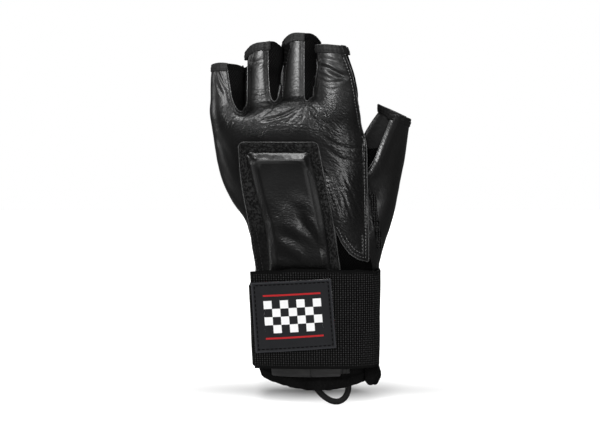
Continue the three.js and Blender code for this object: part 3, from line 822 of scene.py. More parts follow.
def keep_part(points, faces, value):
    """The part of a mesh where the value is above zero, cut cleanly through its triangles."""
    value = np.where(np.abs(value) < 0.05, 0.0, value)
    edges, of_face, crossed, spots = cut_edges(points, faces, value)
    fresh = np.full(len(edges), -1)
    fresh[crossed] = len(points) + np.arange(crossed.sum())
    points = np.concatenate([points, spots[crossed]])
    middle = fresh[of_face]  # the cut point of edges 01, 12 and 20
    sign = np.sign(value[faces])
    parts = [faces[(sign >= 0).all(axis=1) & (sign > 0).any(axis=1)]]
    mixed = (sign > 0).any(axis=1) & (sign < 0).any(axis=1)
    for turn in range(3):
        order = [turn, (turn + 1) % 3, (turn + 2) % 3]
        f, m, s = faces[:, order], middle[:, order], sign[:, order]
        lone = mixed & (s[:, 0] > 0) & (s[:, 1] < 0) & (s[:, 2] < 0)
        parts.append(np.stack([f[lone, 0], m[lone, 0], m[lone, 2]], axis=1))
        pair = mixed & (s[:, 0] < 0) & (s[:, 1] > 0) & (s[:, 2] > 0)
        parts.append(np.stack([m[pair, 0], f[pair, 1], f[pair, 2]], axis=1))
        parts.append(np.stack([m[pair, 0], f[pair, 2], m[pair, 2]], axis=1))
        through = mixed & (s[:, 0] == 0)
        right = through & (s[:, 1] > 0)
        parts.append(np.stack([f[right, 0], f[right, 1], m[right, 1]], axis=1))
        left = through & (s[:, 2] > 0)
        parts.append(np.stack([f[left, 0], m[left, 1], f[left, 2]], axis=1))
    used, faces = np.unique(np.concatenate(parts), return_inverse=True)
    return points[used], faces.reshape(-1, 3)


def chains(edges):
    """Runs of points along loose edges, each in order."""
    ways = {}
    for a, b in edges.tolist():
        ways.setdefault(a, []).append(b)
        ways.setdefault(b, []).append(a)
    left, runs = {tuple(sorted(e)) for e in edges.tolist()}, []
    starts = [p for p, n in ways.items() if len(n) == 1] + list(ways)
    for start in starts:
        run = [start]
        while True:
            onward = [n for n in ways[run[-1]] if tuple(sorted((run[-1], n))) in left]
            if not onward:
                break
            left.discard(tuple(sorted((run[-1], onward[0]))))
            run.append(onward[0])
        if len(run) > 1:
            runs.append(run)
    return runs


def level_lines(points, faces, value, keep=None):
    """Lines on a mesh along the value's zero, where the keep value is above zero."""
    value = np.where(value == 0, 1e-6, value)
    edges, of_face, crossed, spots = cut_edges(points, faces, value)
    if keep is not None:
        crossed &= (keep[edges] > 0).all(axis=1)
    on_face = crossed[of_face]
    through = on_face.sum(axis=1) == 2
    pairs = of_face[through][on_face[through]].reshape(-1, 2)
    return [spots[run] for run in chains(pairs)]


def lengths_along(line):
    """How far along a line each of its points is."""
    return np.concatenate([[0], np.cumsum(np.linalg.norm(np.diff(line, axis=0), axis=1))])


def resample(line, step):
    """A line's points at even steps."""
    line = np.asarray(line, float)
    along = lengths_along(line)
    count = max(int(round(along[-1] / step)), 1) + 1
    places = np.linspace(0, along[-1], count)
    return np.stack([np.interp(places, along, line[:, k]) for k in range(3)], axis=1)


def steady(line, rounds=8):
    """A line without the mesh's small zigzags."""
    line = np.array(line, float)
    for _ in range(rounds):
        line[1:-1] = (line[:-2] + 2 * line[1:-1] + line[2:]) / 4
    return line


def edge_lines(points, faces, keep):
    """Lines along a mesh's loose edges, where the keep value is above zero."""
    edges, count, _ = edge_list(faces)
    loose = edges[count == 1]
    loose = loose[(keep[loose] > 0).all(axis=1)]
    shortest = 12
    return [steady(points[run]) for run in chains(loose) if len(run) > shortest]


def segment_gap(start, end, x, z):
    """The share along a segment of the place nearest to x, z, and how far off that is."""
    dx, dz = end[0] - start[0], end[1] - start[1]
    share = np.clip(((x - start[0]) * dx + (z - start[1]) * dz) / (dx * dx + dz * dz), 0, 1)
    return share, np.hypot(x - start[0] - share * dx, z - start[1] - share * dz)


def outline_distance(corners, x, z):
    """How far x, z lies inside a closed outline; less than zero outside it."""
    corners = np.array(corners, float)
    nearest, inside = np.full(x.shape, 1e9), np.zeros(x.shape, bool)
    for (x0, z0), (x1, z1) in zip(corners, np.roll(corners, -1, axis=0)):
        nearest = np.minimum(nearest, segment_gap((x0, z0), (x1, z1), x, z)[1])
        if z0 != z1:
            inside ^= ((z0 > z) != (z1 > z)) & (x < x0 + (z - z0) * (x1 - x0) / (z1 - z0))
    return np.where(inside, nearest, -nearest)


def line_distance(corners, x, z):
    """How far x, z lies from an open line, and the share along it of the nearest place."""
    corners = np.array(corners, float)
    lengths = np.hypot(*np.diff(corners, axis=0).T)
    done = np.concatenate([[0], np.cumsum(lengths)]) / lengths.sum()
    nearest, along = np.full(x.shape, 1e9), np.zeros(x.shape)
    side = np.zeros(x.shape)
    for i, ((x0, z0), (x1, z1)) in enumerate(zip(corners, corners[1:])):
        share, gap = segment_gap((x0, z0), (x1, z1), x, z)
        closer = gap < nearest
        nearest = np.where(closer, gap, nearest)
        along = np.where(closer, done[i] + share * (done[i + 1] - done[i]), along)
        side = np.where(closer, np.sign((x1 - x0) * (z - z0) - (z1 - z0) * (x - x0)), side)
    return nearest, along, side


# Pieces

def add_piece(name, points, faces, material, stands_for=()):
    """A Blender object in metres, riding on the glove's one body."""
    mesh = bpy.data.meshes.new(name)
    mesh.vertices.add(len(points))
    mesh.vertices.foreach_set("co", (points * MM).ravel())
    mesh.loops.add(faces.size)
    mesh.loops.foreach_set("vertex_index", faces.ravel())
    mesh.polygons.add(len(faces))
    mesh.polygons.foreach_set("loop_start", np.arange(0, faces.size, 3))
    mesh.update(calc_edges=True)
    mesh.validate()
    mesh.shade_smooth()
    mesh.materials.append(materials[material])
    piece = in_scene(name, mesh)
    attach(piece, "root")
    if stands_for:
        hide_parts(*stands_for)
    return piece


def give_uv(piece, uv):
    """A UV map from one place per point."""
    mesh = piece.data
    layer = mesh.uv_layers.new(name="weave")
    loops = np.empty(len(mesh.loops), int)
    mesh.loops.foreach_get("vertex_index", loops)
    layer.data.foreach_set("uv", np.asarray(uv, float)[loops].ravel())


def give_front_uv(piece, across, up):
    """A UV map in centimetres for a sheet's front face, whose points come first."""
    uv = np.zeros((len(piece.data.vertices), 2))
    uv[:across.size] = np.stack([across.ravel(), up.ravel()], axis=1) / 10
    give_uv(piece, uv)


def give_mask(piece, name, values):
    """A named value for the material: one number, or one for each point."""
    layer = piece.data.attributes.new(name, "FLOAT", "POINT")
    layer.data.foreach_set("value", np.zeros(len(piece.data.vertices)) + values)


def walled(points, faces, wall):
    """A closed body from a skin: the skin, its inner side, and a rounded rim along its edges."""
    normals = point_normals(points, faces)
    inner = points - normals * np.reshape(wall, (-1, 1))
    edges, count, _ = edge_list(faces)
    directed = np.concatenate([faces[:, [0, 1]], faces[:, [1, 2]], faces[:, [2, 0]]])
    loose = {tuple(e) for e in edges[count == 1].tolist()}
    rim = np.array([e for e in directed.tolist() if tuple(sorted(e)) in loose])
    n = len(points)
    ids, rim = np.unique(rim, return_inverse=True)
    rim = rim.reshape(-1, 2)
    # The rim's middle row bulges out a little, away from the panel
    away = np.zeros((len(ids), 3))
    outward = np.cross(points[ids[rim[:, 1]]] - points[ids[rim[:, 0]]], normals[ids[rim[:, 0]]])
    for k in (0, 1):
        np.add.at(away, rim[:, k], outward)
    away = unit(away)
    thick = np.linalg.norm(points[ids] - inner[ids], axis=1, keepdims=True)
    outer_row = points[ids] - normals[ids] * 0.12 * thick + away * 0.22 * thick
    middle_row = (points[ids] + inner[ids]) / 2 + away * 0.34 * thick
    every = np.concatenate([points, inner, outer_row, middle_row])
    a, b = rim.T
    fresh = 2 * n + np.arange(len(ids))
    rows = [ids, fresh, fresh + len(ids), n + ids]
    sides = []
    for upper, lower in zip(rows[:-1], rows[1:]):
        sides.append(np.stack([upper[b], upper[a], lower[a]], axis=1))
        sides.append(np.stack([upper[b], lower[a], lower[b]], axis=1))
    return every, np.concatenate([faces, faces[:, ::-1] + n, *sides])


# The hand's skin and its panels

def hand_skin():
    """The hand without its thumb: points, faces, and the block that it was found on."""
    block = Block((-76, -36, 76), (44, 34, 240))
    body = body_field(block)
    field = body
    for stall in STALLS.values():
        field = np.minimum(field, smooth_min(body, stall_field(block, stall), 5.0))
    points, faces = skin(field, block)
    return relax(points, faces, 3), faces, block, body


def thumb_front(x, z):
    """The thumb stall's front at x, z; far behind where there is no thumb."""
    s = at(THUMB["rows"], z)
    u = np.clip(np.abs((x - s["x"]) / s["wide"]), 0, 1)
    return np.where(z < 180, s["y"] - s["deep"] * (1 - u**STALL_POWER) ** (1 / STALL_POWER), 40)


FLAP_LIFT = 2.6


def lift_flap(points):
    """Bring the palm's thumb side forward, so that it lies on the thumb stall."""
    x, y, z = points.T
    over_thumb = smooth_min(y, thumb_front(x, z) - FLAP_LIFT, 3.0)
    share = smooth_step(8, 20, x) * (y < 0) * (1 - smooth_step(160, 172, z))
    lifted = points.copy()
    lifted[:, 1] = y + (np.minimum(over_thumb, y) - y) * share
    return lifted


def nearest_stall(points):
    """The number of the stall that each point belongs to, little finger first."""
    levels = [stall_level(stall, *points.T)[0] for stall in STALLS.values()]
    return np.argmin(levels, axis=0)


def below_rim(points, inset=0.0):
    """How far each point lies below the open end of its stall."""
    x, _, z = points.T
    number = nearest_stall(points)
    room = np.full(len(points), 50.0)
    for i, stall in enumerate(STALLS.values()):
        s = at(stall["rows"], z)
        u = (x - s["x"]) / s["wide"]
        here = (number == i) & (z > 195)
        room = np.where(here, rim_height(stall, u) - inset - z, room)
    return room


def seam_distance(points):
    """How far each point lies in front of the seam between palm and back."""
    seam = np.array(BACK_SEAM, float)
    return np.interp(points[:, 0], seam[:, 0], seam[:, 1]) - points[:, 1]


# Creases on the palm: a line's corners in x, z, its depth and its half width
CREASES = [
    ([(-6.2, 191), (-12.7, 186.4), (-19.6, 182.6), (-28.5, 179.8), (-35, 178.6)], 0.75, 0.8),
    ([(-7.2, 190), (-11, 185.6), (-15, 180.5), (-20, 176.5)], 0.25, 0.6),
    ([(-26.8, 190.6), (-29, 186), (-34, 182.5)], 0.3, 0.8),
    ([(-5.4, 190.5), (-3.6, 186), (-0.5, 181.6), (5, 177.6), (10, 176)], 0.4, 0.8),
    ([(-6.4, 190.5), (-7.2, 185), (-8.7, 179.5)], 0.5, 0.7),
    ([(-5.8, 190.5), (-5.2, 185), (-4.2, 180)], 0.4, 0.5),
    ([(-5.2, 190.8), (0, 186.5), (6, 185)], 0.25, 0.8),
    ([(1.4, 214.6), (7, 213), (13, 210), (19.3, 207.2)], 1.5, 1.3),
    ([(2.5, 206), (8, 203.2), (13, 203.4), (19, 205)], 0.3, 1.0),
    ([(5, 200.8), (10, 198.6), (15, 199.4)], 0.15, 0.9),
    ([(3, 219.2), (9, 218.6), (16, 216)], 0.3, 1.2),
    ([(-64.5, 211.5), (-61, 203.5), (-58.5, 199.5)], 0.6, 0.8),
    ([(-61.8, 212.4), (-60, 206), (-58.3, 202.5)], 0.5, 0.7),
    ([(-66, 207), (-63.5, 199.5), (-61, 195)], 0.35, 0.9),
    ([(-44, 199.2), (-38, 197.6), (-31.5, 198.6)], 0.25, 0.7),
    ([(-44.5, 195.4), (-38, 194.4), (-31, 195.4)], 0.32, 0.7),
    ([(-44, 192.2), (-38, 191.0), (-31, 191.6)], 0.3, 0.65),
    ([(-43, 188.6), (-36, 187.8), (-30, 188.2)], 0.28, 0.7),
    ([(-44, 218.2), (-39.2, 216.4), (-34, 219)], 0.35, 1.3),
    ([(3.6, 149), (8.6, 140.5), (13.4, 131), (17, 120)], 0.28, 0.8),
    ([(2.2, 152.5), (6.4, 142), (10, 129), (13.4, 117)], 0.3, 0.7),
    ([(9.4, 137), (13.8, 127), (18.5, 113)], 0.25, 0.7),
    ([(13, 141), (19, 129), (24.5, 113)], 0.22, 0.8),
    ([(18, 143), (24, 131), (29, 117)], 0.2, 0.8),
    ([(7, 160.5), (16, 153.5), (25, 151), (32, 150.5)], 0.25, 1.2),
    ([(5, 168), (13, 162.6), (24, 160), (32, 160.5)], 0.2, 1.2),
    ([(-66, 168), (-60, 160), (-55, 150)], 0.25, 1.9),
    ([(-63, 148), (-57, 138), (-50, 130)], 0.25, 1.9),
    ([(13, 106.5), (18, 100.5), (25, 95.5)], 0.25, 1.2),
]


def dent_depth(dents, x, z, run, fade, shoulder, out, wide):
    """How far dents press in at x, z: each fades at its ends and has soft raised shoulders beside it."""
    total = np.zeros(x.shape)
    for corners, depth, half in dents:
        nearest, along, _ = line_distance(corners, x, z)
        ends = np.sin(np.pi * np.clip(along * run + (1 - run) / 2, 0, 1)) ** fade
        valley = hill(nearest, half) - shoulder * hill(nearest - out * half, wide * half)
        total += depth * valley * ends
    return total


def waves(points, seed, size, count=14):
    """A smooth uneven field of about -1 to 1, with lumps of this size."""
    rng = np.random.default_rng(seed)
    total = np.zeros(len(points))
    for _ in range(count):
        way = rng.normal(size=3)
        way *= rng.uniform(0.6, 1.5) * 2 * np.pi / (size * 2 * np.linalg.norm(way))
        total += np.sin(points @ way + rng.uniform(0, 2 * np.pi))
    return total / math.sqrt(count)


def streaks(points, seed, size, degrees):
    """Like waves, but drawn out along one direction of the front, as folds are."""
    a = math.radians(degrees)
    along, across = (math.cos(a), 0, math.sin(a)), (-math.sin(a), 0.3, math.cos(a))
    lengthwise, crosswise = points @ np.array(along), points @ np.array(across)
    return waves(np.stack([lengthwise * 0.28, crosswise, points[:, 1] * 0.3], axis=1), seed, size, 24)


def hand_displacement(points):
    """How far creases, folds and unevenness push the palm leather inwards."""
    x, _, z = points.T
    depth = dent_depth(CREASES, x, z, run=0.96, fade=0.4, shoulder=0.45, out=2.1, wide=1.1)
    # Fine folds over the knuckles' mounds and beside the thumb, along the leather's strain
    near_knuckles = hill(z - 176, 11) * smooth_step(-64, -52, x) * (1 - smooth_step(8, 24, x))
    near_thumb = np.exp(-(((x - 18 + 0.25 * (z - 122)) / 12) ** 2 + ((z - 124) / 30) ** 2))
    folds = 0.025 * near_knuckles * streaks(points, 5, 4.2, 24)
    depth += folds + 0.03 * near_thumb * streaks(points, 6, 4.2, -48)
    return depth + 0.16 * waves(points, 3, 17.0) + 0.012 * waves(points, 9, 4.2)


STITCH_INSET, STITCH_GAP = 2.0, 2.2


def groove(distance, half=0.55, depth=0.35):
    """A stitch row's pull on the leather."""
    return depth * hill(distance, half)


def palm_outline(points):
    """How far each point lies inside the palm leather's outline; a stall's points stay with their stall."""
    low, high = np.array(STALL_REACH, float)[nearest_stall(points)].T
    x, _, z = points.T
    held = np.clip(x, low, high)
    return outline_distance(LEATHER_OUTLINE, x + (held - x) * smooth_step(190, 194, z), z)


def make_hand():
    """The palm leather, the mesh back and the mesh strips between the stalls."""
    points, faces, block, body = hand_skin()
    lifted = lift_flap(points)
    region = np.minimum(palm_outline(lifted), seam_distance(points))
    region = np.minimum(region, below_rim(points, RIM_DROP))
    palm, palm_faces = keep_part(lifted, faces, region)
    normals = point_normals(palm, palm_faces)
    edge = palm_outline(palm)
    push = hand_displacement(palm) * smooth_step(-0.5, 3.5, edge)
    push += 0.45 * (1 - smooth_step(0, 1.6, edge))
    # One stitch row follows the whole edge, a second one only the flap's lower edge
    near = np.minimum(below_rim(palm, 8.0), seam_distance(palm) - 2.0)
    on_flap = smallest(near, 103 - palm[:, 2], palm[:, 0] - 12)
    first, second = edge - STITCH_INSET, edge - (STITCH_INSET + STITCH_GAP)
    push += groove(first)
    push += groove(second) * (on_flap > 0)
    palm = palm - normals * push[:, None]
    rows = level_lines(palm, palm_faces, first, near) + level_lines(palm, palm_faces, second, on_flap)
    rows = [steady(line) for line in rows]
    welts = edge_lines(palm, palm_faces, below_rim(palm) - 2.5)
    body_points, body_faces = walled(palm, palm_faces, LEATHER)
    piece = add_piece("palm_leather_skin", body_points, body_faces, "leather", ("palm_leather",))
    wear = np.zeros(len(body_points))
    wear[:len(palm)] = 1 - smooth_step(0.0, 1.1, edge)
    give_mask(piece, "wear_and_painted_light", wear)
    return points, faces, block, body, rows, welts


def make_mesh_layer(points, faces):
    """The stretch mesh: the back, and a strip between each two stalls."""
    normals = point_normals(points, faces)
    x, y, z = points.T
    # Between the ring and middle stalls' ends the two strips bulge out until they touch
    bulge = 1.8 * smooth_step(208, 218, z) * hill(x + 21.6, 5.0)
    sunk = points - normals * (MESH_SINK - bulge)[:, None]
    leather_here = np.minimum(palm_outline(points), seam_distance(points))
    free = np.minimum(UNDERLAP - leather_here, below_rim(points, RIM_DROP))
    off_thumb = (stall_level(THUMB, x, y, z)[0] - 1) * at(THUMB["rows"], z)["wide"]
    free = smallest(free, z - 77.0, off_thumb + 2.0)
    crumple = smooth_step(6, 0, z - crotch_height(x)) * smooth_step(-8, 0, z - crotch_height(x))
    sunk -= normals * (0.25 * waves(points, 21, 9.0) + 0.5 * crumple * waves(points, 22, 3.2))[:, None]
    front = np.minimum(seam_distance(points), z - 176.0)
    zones = {"back_mesh": -front}
    borders = [-80.0, -46.0, -21.4, 60.0]
    names = ("fourchette_pinky_ring", "fourchette_ring_middle", "fourchette_middle_index")
    for name, left, right in zip(names, borders, borders[1:]):
        zones[name] = smallest(front, x - left, right - x)
    zones[names[0]] = np.minimum(zones[names[0]], 214.6 - z)
    for name, zone in zones.items():
        part, part_faces = keep_part(sunk, faces, np.minimum(free, zone))
        body_points, body_faces = walled(part, part_faces, MESH_WALL)
        # The back takes the lighter copy of the mesh, which has painted light
        material = "back_cloth_painted_light" if name == "back_mesh" else "mesh_cloth"
        add_piece(name + "_cloth", body_points, body_faces, material, (name,))


def make_thumb(body, block):
    """The thumb stall: outer leather, inner leather and the mesh gusset at its crotch."""
    own = Block((0, -20, 74), (70, 24, 186))
    field = own.distance(stall_level(THUMB, own.x, own.y, own.axes[2])[0])
    points, faces = skin(field, own)
    points = relax(points, faces, 3)
    normals = point_normals(points, faces)
    x, y, z = points.T
    s = at(THUMB["rows"], z)
    under_rim = rim_height(THUMB, (x - s["x"]) / s["wide"]) - RIM_DROP - z
    outside_hand = block.sample(body, points) + 1.5
    shared = smallest(under_rim, outside_hand, z - 78.0)
    nearest, _, side = line_distance(THUMB_EDGE, x, z)
    inner = smallest(-side * nearest, 1.0 - y, z - 138.0)
    uneven = 0.3 * waves(points, 31, 16.0) + 0.05 * waves(points, 32, 5.0)
    dent = 0.9 * np.exp(-(((x - 47) / 6) ** 2 + ((z - 120) / 22) ** 2)) * (y < 0)
    rows = []
    upper = np.minimum(inner + UNDERLAP, z - GUSSET_TOP)
    lower = np.minimum(inner + UNDERLAP, GUSSET_TOP + 2 - z)
    layers = (
        ("thumb_leather", -inner, 0.0, LEATHER, "leather", "leather"),
        ("thumb_inner_leather", upper, 0.9, 1.0, "hem_leather", "leather"),
        ("thumb_gusset", lower, 1.5, MESH_WALL, "mesh_cloth", "stretch_mesh"),
    )
    for name, zone, sink, wall, material, slot in layers:
        push = sink + uneven + dent
        if name == "thumb_leather":
            push = push + 0.5 * (1 - smooth_step(0, 1.4, zone)) - 1.5 * hill(zone - 4.0, 3.2)
        moved = points - normals * push[:, None]
        part, part_faces = keep_part(moved, faces, np.minimum(shared, zone))
        if name == "thumb_leather":
            near = smallest(shared - 5.0, z - 150, -y + 2.0)
            rows += [steady(line) for line in level_lines(moved, faces, zone - 4.2, near)]
            welts = edge_lines(part, part_faces, rim_height(THUMB, (part[:, 0] - 48) / 14) - 3.5 - part[:, 2])
        body_points, body_faces = walled(part, part_faces, wall)
        piece = add_piece(name + "_skin", body_points, body_faces, material, (name,))
        if material != "mesh_cloth":
            give_mask(piece, "wear_and_painted_light", 0.0)
    return rows, welts


# Closed bodies from sections

def full_turn(count):
    return np.linspace(0, math.tau, count, endpoint=False)


def grid_shares(rows, columns, low=0, high=1):
    """Shares up and across a grid: 0 to 1 upwards, and low to high across."""
    return np.meshgrid(np.linspace(0, 1, rows), np.linspace(low, high, columns), indexing="ij")


def grid_faces(rows, columns, wrap_rows=False, wrap_columns=False):
    """Squares between the points of rows x columns."""
    number = np.arange(rows * columns).reshape(rows, columns)
    if wrap_rows:
        number = np.concatenate([number, number[:1]])
    if wrap_columns:
        number = np.concatenate([number, number[:, :1]], axis=1)
    a, b, c, d = number[:-1, :-1], number[:-1, 1:], number[1:, 1:], number[1:, :-1]
    return np.stack([a, b, c, d], axis=-1).reshape(-1, 4)


def outward(points, faces):
    """The triangles of a closed body, turned so that they face out."""
    a, b, c = points[faces].transpose(1, 0, 2)
    return faces if np.einsum("ij,ij->i", a, np.cross(b, c)).sum() > 0 else faces[:, ::-1]


def through_sections(sections, ring=False):
    """A closed body through equal closed sections, capped at both ends unless it is a ring."""
    count, corners, _ = sections.shape
    points = sections.reshape(-1, 3)
    faces = halved(grid_faces(count, corners, wrap_rows=ring, wrap_columns=True))
    if not ring:
        middles = sections[[0, -1]].mean(axis=1)
        points = np.concatenate([points, middles])
        i = np.arange(corners)
        j = (i + 1) % corners
        first, last = len(points) - 2, len(points) - 1
        start = (count - 1) * corners
        faces = np.concatenate([
            faces,
            np.stack([np.full(corners, first), j, i], axis=1),
            np.stack([np.full(corners, last), start + i, start + j], axis=1),
        ])
    return points, outward(points, faces)


def joined(*bodies):
    """Several bodies as one, and which body each face is from."""
    points, faces, owner, start = [], [], [], 0
    for i, (p, f) in enumerate(bodies):
        points.append(p)
        faces.append(f + start)
        owner += [i] * len(f)
        start += len(p)
    return np.concatenate(points), np.concatenate(faces), owner


# Hems round the open ends of the stalls

def rounded_point(angles, power):
    c, s = np.cos(angles), np.sin(angles)
    return np.sign(c) * np.abs(c) ** (2 / power), np.sign(s) * np.abs(s) ** (2 / power)


def rim_points(stall, angles, out, drop):
    """Points out from the stall's skin and below its open end."""
    u, v = rounded_point(angles, STALL_POWER)
    z = rim_height(stall, u) + drop
    s = at(stall["rows"], z)
    return np.stack([s["x"] + (s["wide"] + out) * u, s["y"] + (s["deep"] + out) * v, z], axis=-1)


# A hem's section: how far out of the skin, and how far below the rim
LEATHER_HEM = np.array([
    (-1.6, -5.4), (-0.2, -5.5), (0.35, -5.45), (0.75, -5.0), (0.62, -4.2), (0.95, -3.4), (1.0, -2.4),
    (0.62, -1.7), (0.9, -1.0), (0.75, -0.3), (0.3, 0.15), (-0.4, 0.3), (-1.3, 0.1), (-1.9, -0.5),
    (-2.0, -3.0), (-1.9, -5.2),
])
CLOTH_HEM = np.array([
    (-2.2, -3.8), (-1.6, -3.9), (-1.0, -3.8), (-0.6, -3.2), (-0.75, -2.4), (-0.35, -1.6), (-0.3, -0.8),
    (-0.5, -0.2), (-1.1, 0.1), (-1.8, 0.0), (-2.4, -0.5), (-2.5, -2.4),
])
HEM_STITCHES = (-4.2, -1.7)


def hem_arc(stall, start, end, section, seed):
    """A hem along the rim between two angles in degrees, a little uneven as sewn leather is."""
    ring = end - start >= 360
    angles = np.radians(np.linspace(start, end, max(int((end - start) / 2), 8), endpoint=not ring))
    sections = np.stack([rim_points(stall, angles, out, drop) for out, drop in section], axis=1)
    flat = sections.reshape(-1, 3)
    arc = np.repeat(angles, len(section)) * (stall["rows"]["wide"][-1] + stall["rows"]["deep"][-1]) / 2
    gathers = np.sin(arc * math.tau / 2.3 + waves(flat, seed + 20, 5.0)) * 0.09
    wobble = (waves(flat, seed, 4.5) * 0.13 + gathers)[:, None]
    middle = np.array([stall["rows"]["x"][-1], stall["rows"]["y"][-1], 0])
    away = flat - middle
    away[:, 2] = 0
    flat = flat + unit(away) * wobble + np.array([0, 0, 1]) * waves(flat, seed + 50, 6.0)[:, None] * 0.12
    return through_sections(flat.reshape(sections.shape), ring)


def hem_rows(stall, start, end):
    """The stitch rows of a leather hem."""
    angles = np.radians(np.linspace(start, end, 60))
    return [rim_points(stall, angles, 0.72, drop) for drop in HEM_STITCHES]


# Where the leather part of each hem starts and ends, in degrees round the stall
HEM_ARCS = {"pinky": (168, 268), "ring": (165, 288), "middle": (172, 275), "index": (176, 350)}


def make_hems():
    """The turned hems at the open ends: leather in front, cloth behind."""
    rows = []
    for i, (name, (start, end)) in enumerate(HEM_ARCS.items()):
        stall = STALLS[name]
        hem = hem_arc(stall, start, end, LEATHER_HEM, 40 + i)
        back = hem_arc(stall, end - 4, start + 364, CLOTH_HEM, 60 + i)
        points, faces, owner = joined(hem, back)
        hem_name = "hem_" + name
        piece = add_piece(hem_name + "_band", points, faces, "hem_leather", (hem_name,))
        piece.data.materials.append(materials["mesh_cloth"])
        piece.data.polygons.foreach_set("material_index", owner)
        give_mask(piece, "wear_and_painted_light", 0.0)
        rows += hem_rows(stall, start + 3, end - 3)
    thin = LEATHER_HEM * (0.35, 0.9) + (-0.2, 0.5)
    points, faces, _ = joined(hem_arc(THUMB, 256, 400, LEATHER_HEM, 47), hem_arc(THUMB, 38, 258, thin, 49))
    piece = add_piece("hem_thumb_band", points, faces, "hem_leather", ("hem_thumb",))
    give_mask(piece, "wear_and_painted_light", 0.0)
    rows += hem_rows(THUMB, 260, 390)
    folded = LEATHER_HEM * (0.4, 0.86) + (0.75, 0.2)
    points, faces = hem_arc(STALLS["index"], 304, 329, folded, 48)
    piece = add_piece("index_tab_fold", points, faces, "hem_leather", ("index_tab",))
    give_mask(piece, "wear_and_painted_light", 0.3)
    return rows


# Stitches, laid along lines by Geometry Nodes

def stitch_tree():
    """Stitches at an even pitch along the edges of a mesh."""
    tree = bpy.data.node_groups.new("stitch row", "GeometryNodeTree")
    face = tree.interface
    face.new_socket("Lines", in_out="INPUT", socket_type="NodeSocketGeometry")
    for name in ("Pitch", "Length", "Thickness"):
        face.new_socket(name, in_out="INPUT", socket_type="NodeSocketFloat")
    face.new_socket("Thread", in_out="INPUT", socket_type="NodeSocketMaterial")
    face.new_socket("Stitches", in_out="OUTPUT", socket_type="NodeSocketGeometry")
    node = node_maker(tree, "")
    given = node("NodeGroupInput")
    curve = node("GeometryNodeMeshToCurve", None, {"Mesh": given["Lines"]})["Curve"]
    spots = node("GeometryNodeCurveToPoints", {"mode": "LENGTH"}, {"Curve": curve, "Length": given["Pitch"]})
    bead = node("GeometryNodeMeshUVSphere", None, {"Segments": 8, "Rings": 5, "Radius": 1.0})["Mesh"]
    turn = node("FunctionNodeAlignRotationToVector", {"axis": "Z"}, {"Vector": spots["Tangent"]})["Rotation"]
    long_way = node("ShaderNodeMath", {"operation": "MULTIPLY"}, {0: given["Length"], 1: 0.5})["Value"]
    thick = given["Thickness"]
    size = node("ShaderNodeCombineXYZ", None, {"X": thick, "Y": thick, "Z": long_way})
    laid = node("GeometryNodeInstanceOnPoints", None, {
        "Points": spots["Points"], "Instance": bead, "Rotation": turn, "Scale": size["Vector"],
    })["Instances"]
    real = node("GeometryNodeRealizeInstances", None, {"Geometry": laid})["Geometry"]
    soft = node("GeometryNodeSetShadeSmooth", None, {"Geometry": real})["Geometry"]
    done = node("GeometryNodeSetMaterial", None, {"Geometry": soft, "Material": given["Thread"]})["Geometry"]
    node("NodeGroupOutput", None, {"Stitches": done})
    return tree


STITCH_TREE = stitch_tree()


def made_plain(piece):
    """The piece's modifiers taken into its mesh."""
    seen = piece.evaluated_get(bpy.context.evaluated_depsgraph_get())
    mesh = bpy.data.meshes.new_from_object(seen)
    piece.modifiers.clear()
    piece.data = mesh
    return piece


def sew(name, lines, slot, material="thread", pitch=2.5, length=2.0, thickness=0.3):
    """One piece with every stitch along these lines, in millimetres."""
    points, edges = [], []
    for line in lines:
        if lengths_along(line)[-1] < 2 * pitch:
            continue
        line = resample(line, 0.8)
        edges += [(len(points) + i, len(points) + i + 1) for i in range(len(line) - 1)]
        points += (line * MM).tolist()
    mesh = bpy.data.meshes.new(name)
    mesh.from_pydata(points, edges, [])
    piece = in_scene(name, mesh)
    row = piece.modifiers.new("stitch row", "NODES")
    row.node_group = STITCH_TREE
    values = {"Pitch": pitch * MM, "Length": length * MM, "Thickness": thickness * MM}
    values["Thread"] = materials[material]
    for socket in STITCH_TREE.interface.items_tree:
        if socket.in_out == "INPUT" and socket.name in values:
            row[socket.identifier] = values[socket.name]
    made_plain(piece)
    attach(piece, "root")
    return piece


def add_welts(name, lines, radius=0.42, pitch=1.5):
    """Thin raised edges along lines, drawn in where each stitch holds them."""
    bodies = []
    for line in lines:
        line = resample(line, 0.5)
        onward = unit(np.gradient(line, axis=0))
        side = unit(np.cross(onward, (0.12, 1, 0.07)))
        other = np.cross(side, onward)
        thick = radius * (0.82 + 0.18 * np.cos(np.arange(len(line)) * (0.5 * math.tau / pitch)))
        turn = full_turn(8)[None, :, None]
        round_it = np.cos(turn) * side[:, None] + np.sin(turn) * other[:, None]
        bodies.append(through_sections(line[:, None] + thick[:, None, None] * round_it))
    points, faces, _ = joined(*bodies)
    # Their pale, uneven colour is painted highlight along the raised edges
    piece = add_piece(name, points, faces, "edge_leather_painted_highlight")
    give_mask(piece, "wear_and_painted_light", 0.5 + 0.5 * waves(points, 121, 9.0))


# Sheets that lie on the palm, the thumb and the strap

def front_surface(s, x, mound=0.0, share=0.8):
    """The front's y on an outline, running on straight past a share of its half width."""
    middle_x, half_x, middle_y, half_y = middle_and_half(s)
    power = s["power"]

    def bulge(u):
        return (1 - np.minimum(u, 1) ** power) ** (1 / power)

    u = np.abs(x - middle_x) / half_x
    slope = (bulge(share) - bulge(share - 0.01)) / 0.01
    v = np.where(u < share, bulge(np.minimum(u, share)), bulge(share) + slope * (u - share))
    return middle_y - v * (half_y + mound)


def palm_surface(x, z):
    return front_surface(at(BODY, z), x, mound_depth(x, z))


def cuff_surface(x, z):
    s = at(BODY, z)
    return front_surface({
        "left": s["left"] + CUFF_INSET, "right": s["right"] - CUFF_INSET,
        "front": s["front"] + CUFF_INSET, "back": s["back"] - CUFF_INSET, "power": s["power"],
    }, x)


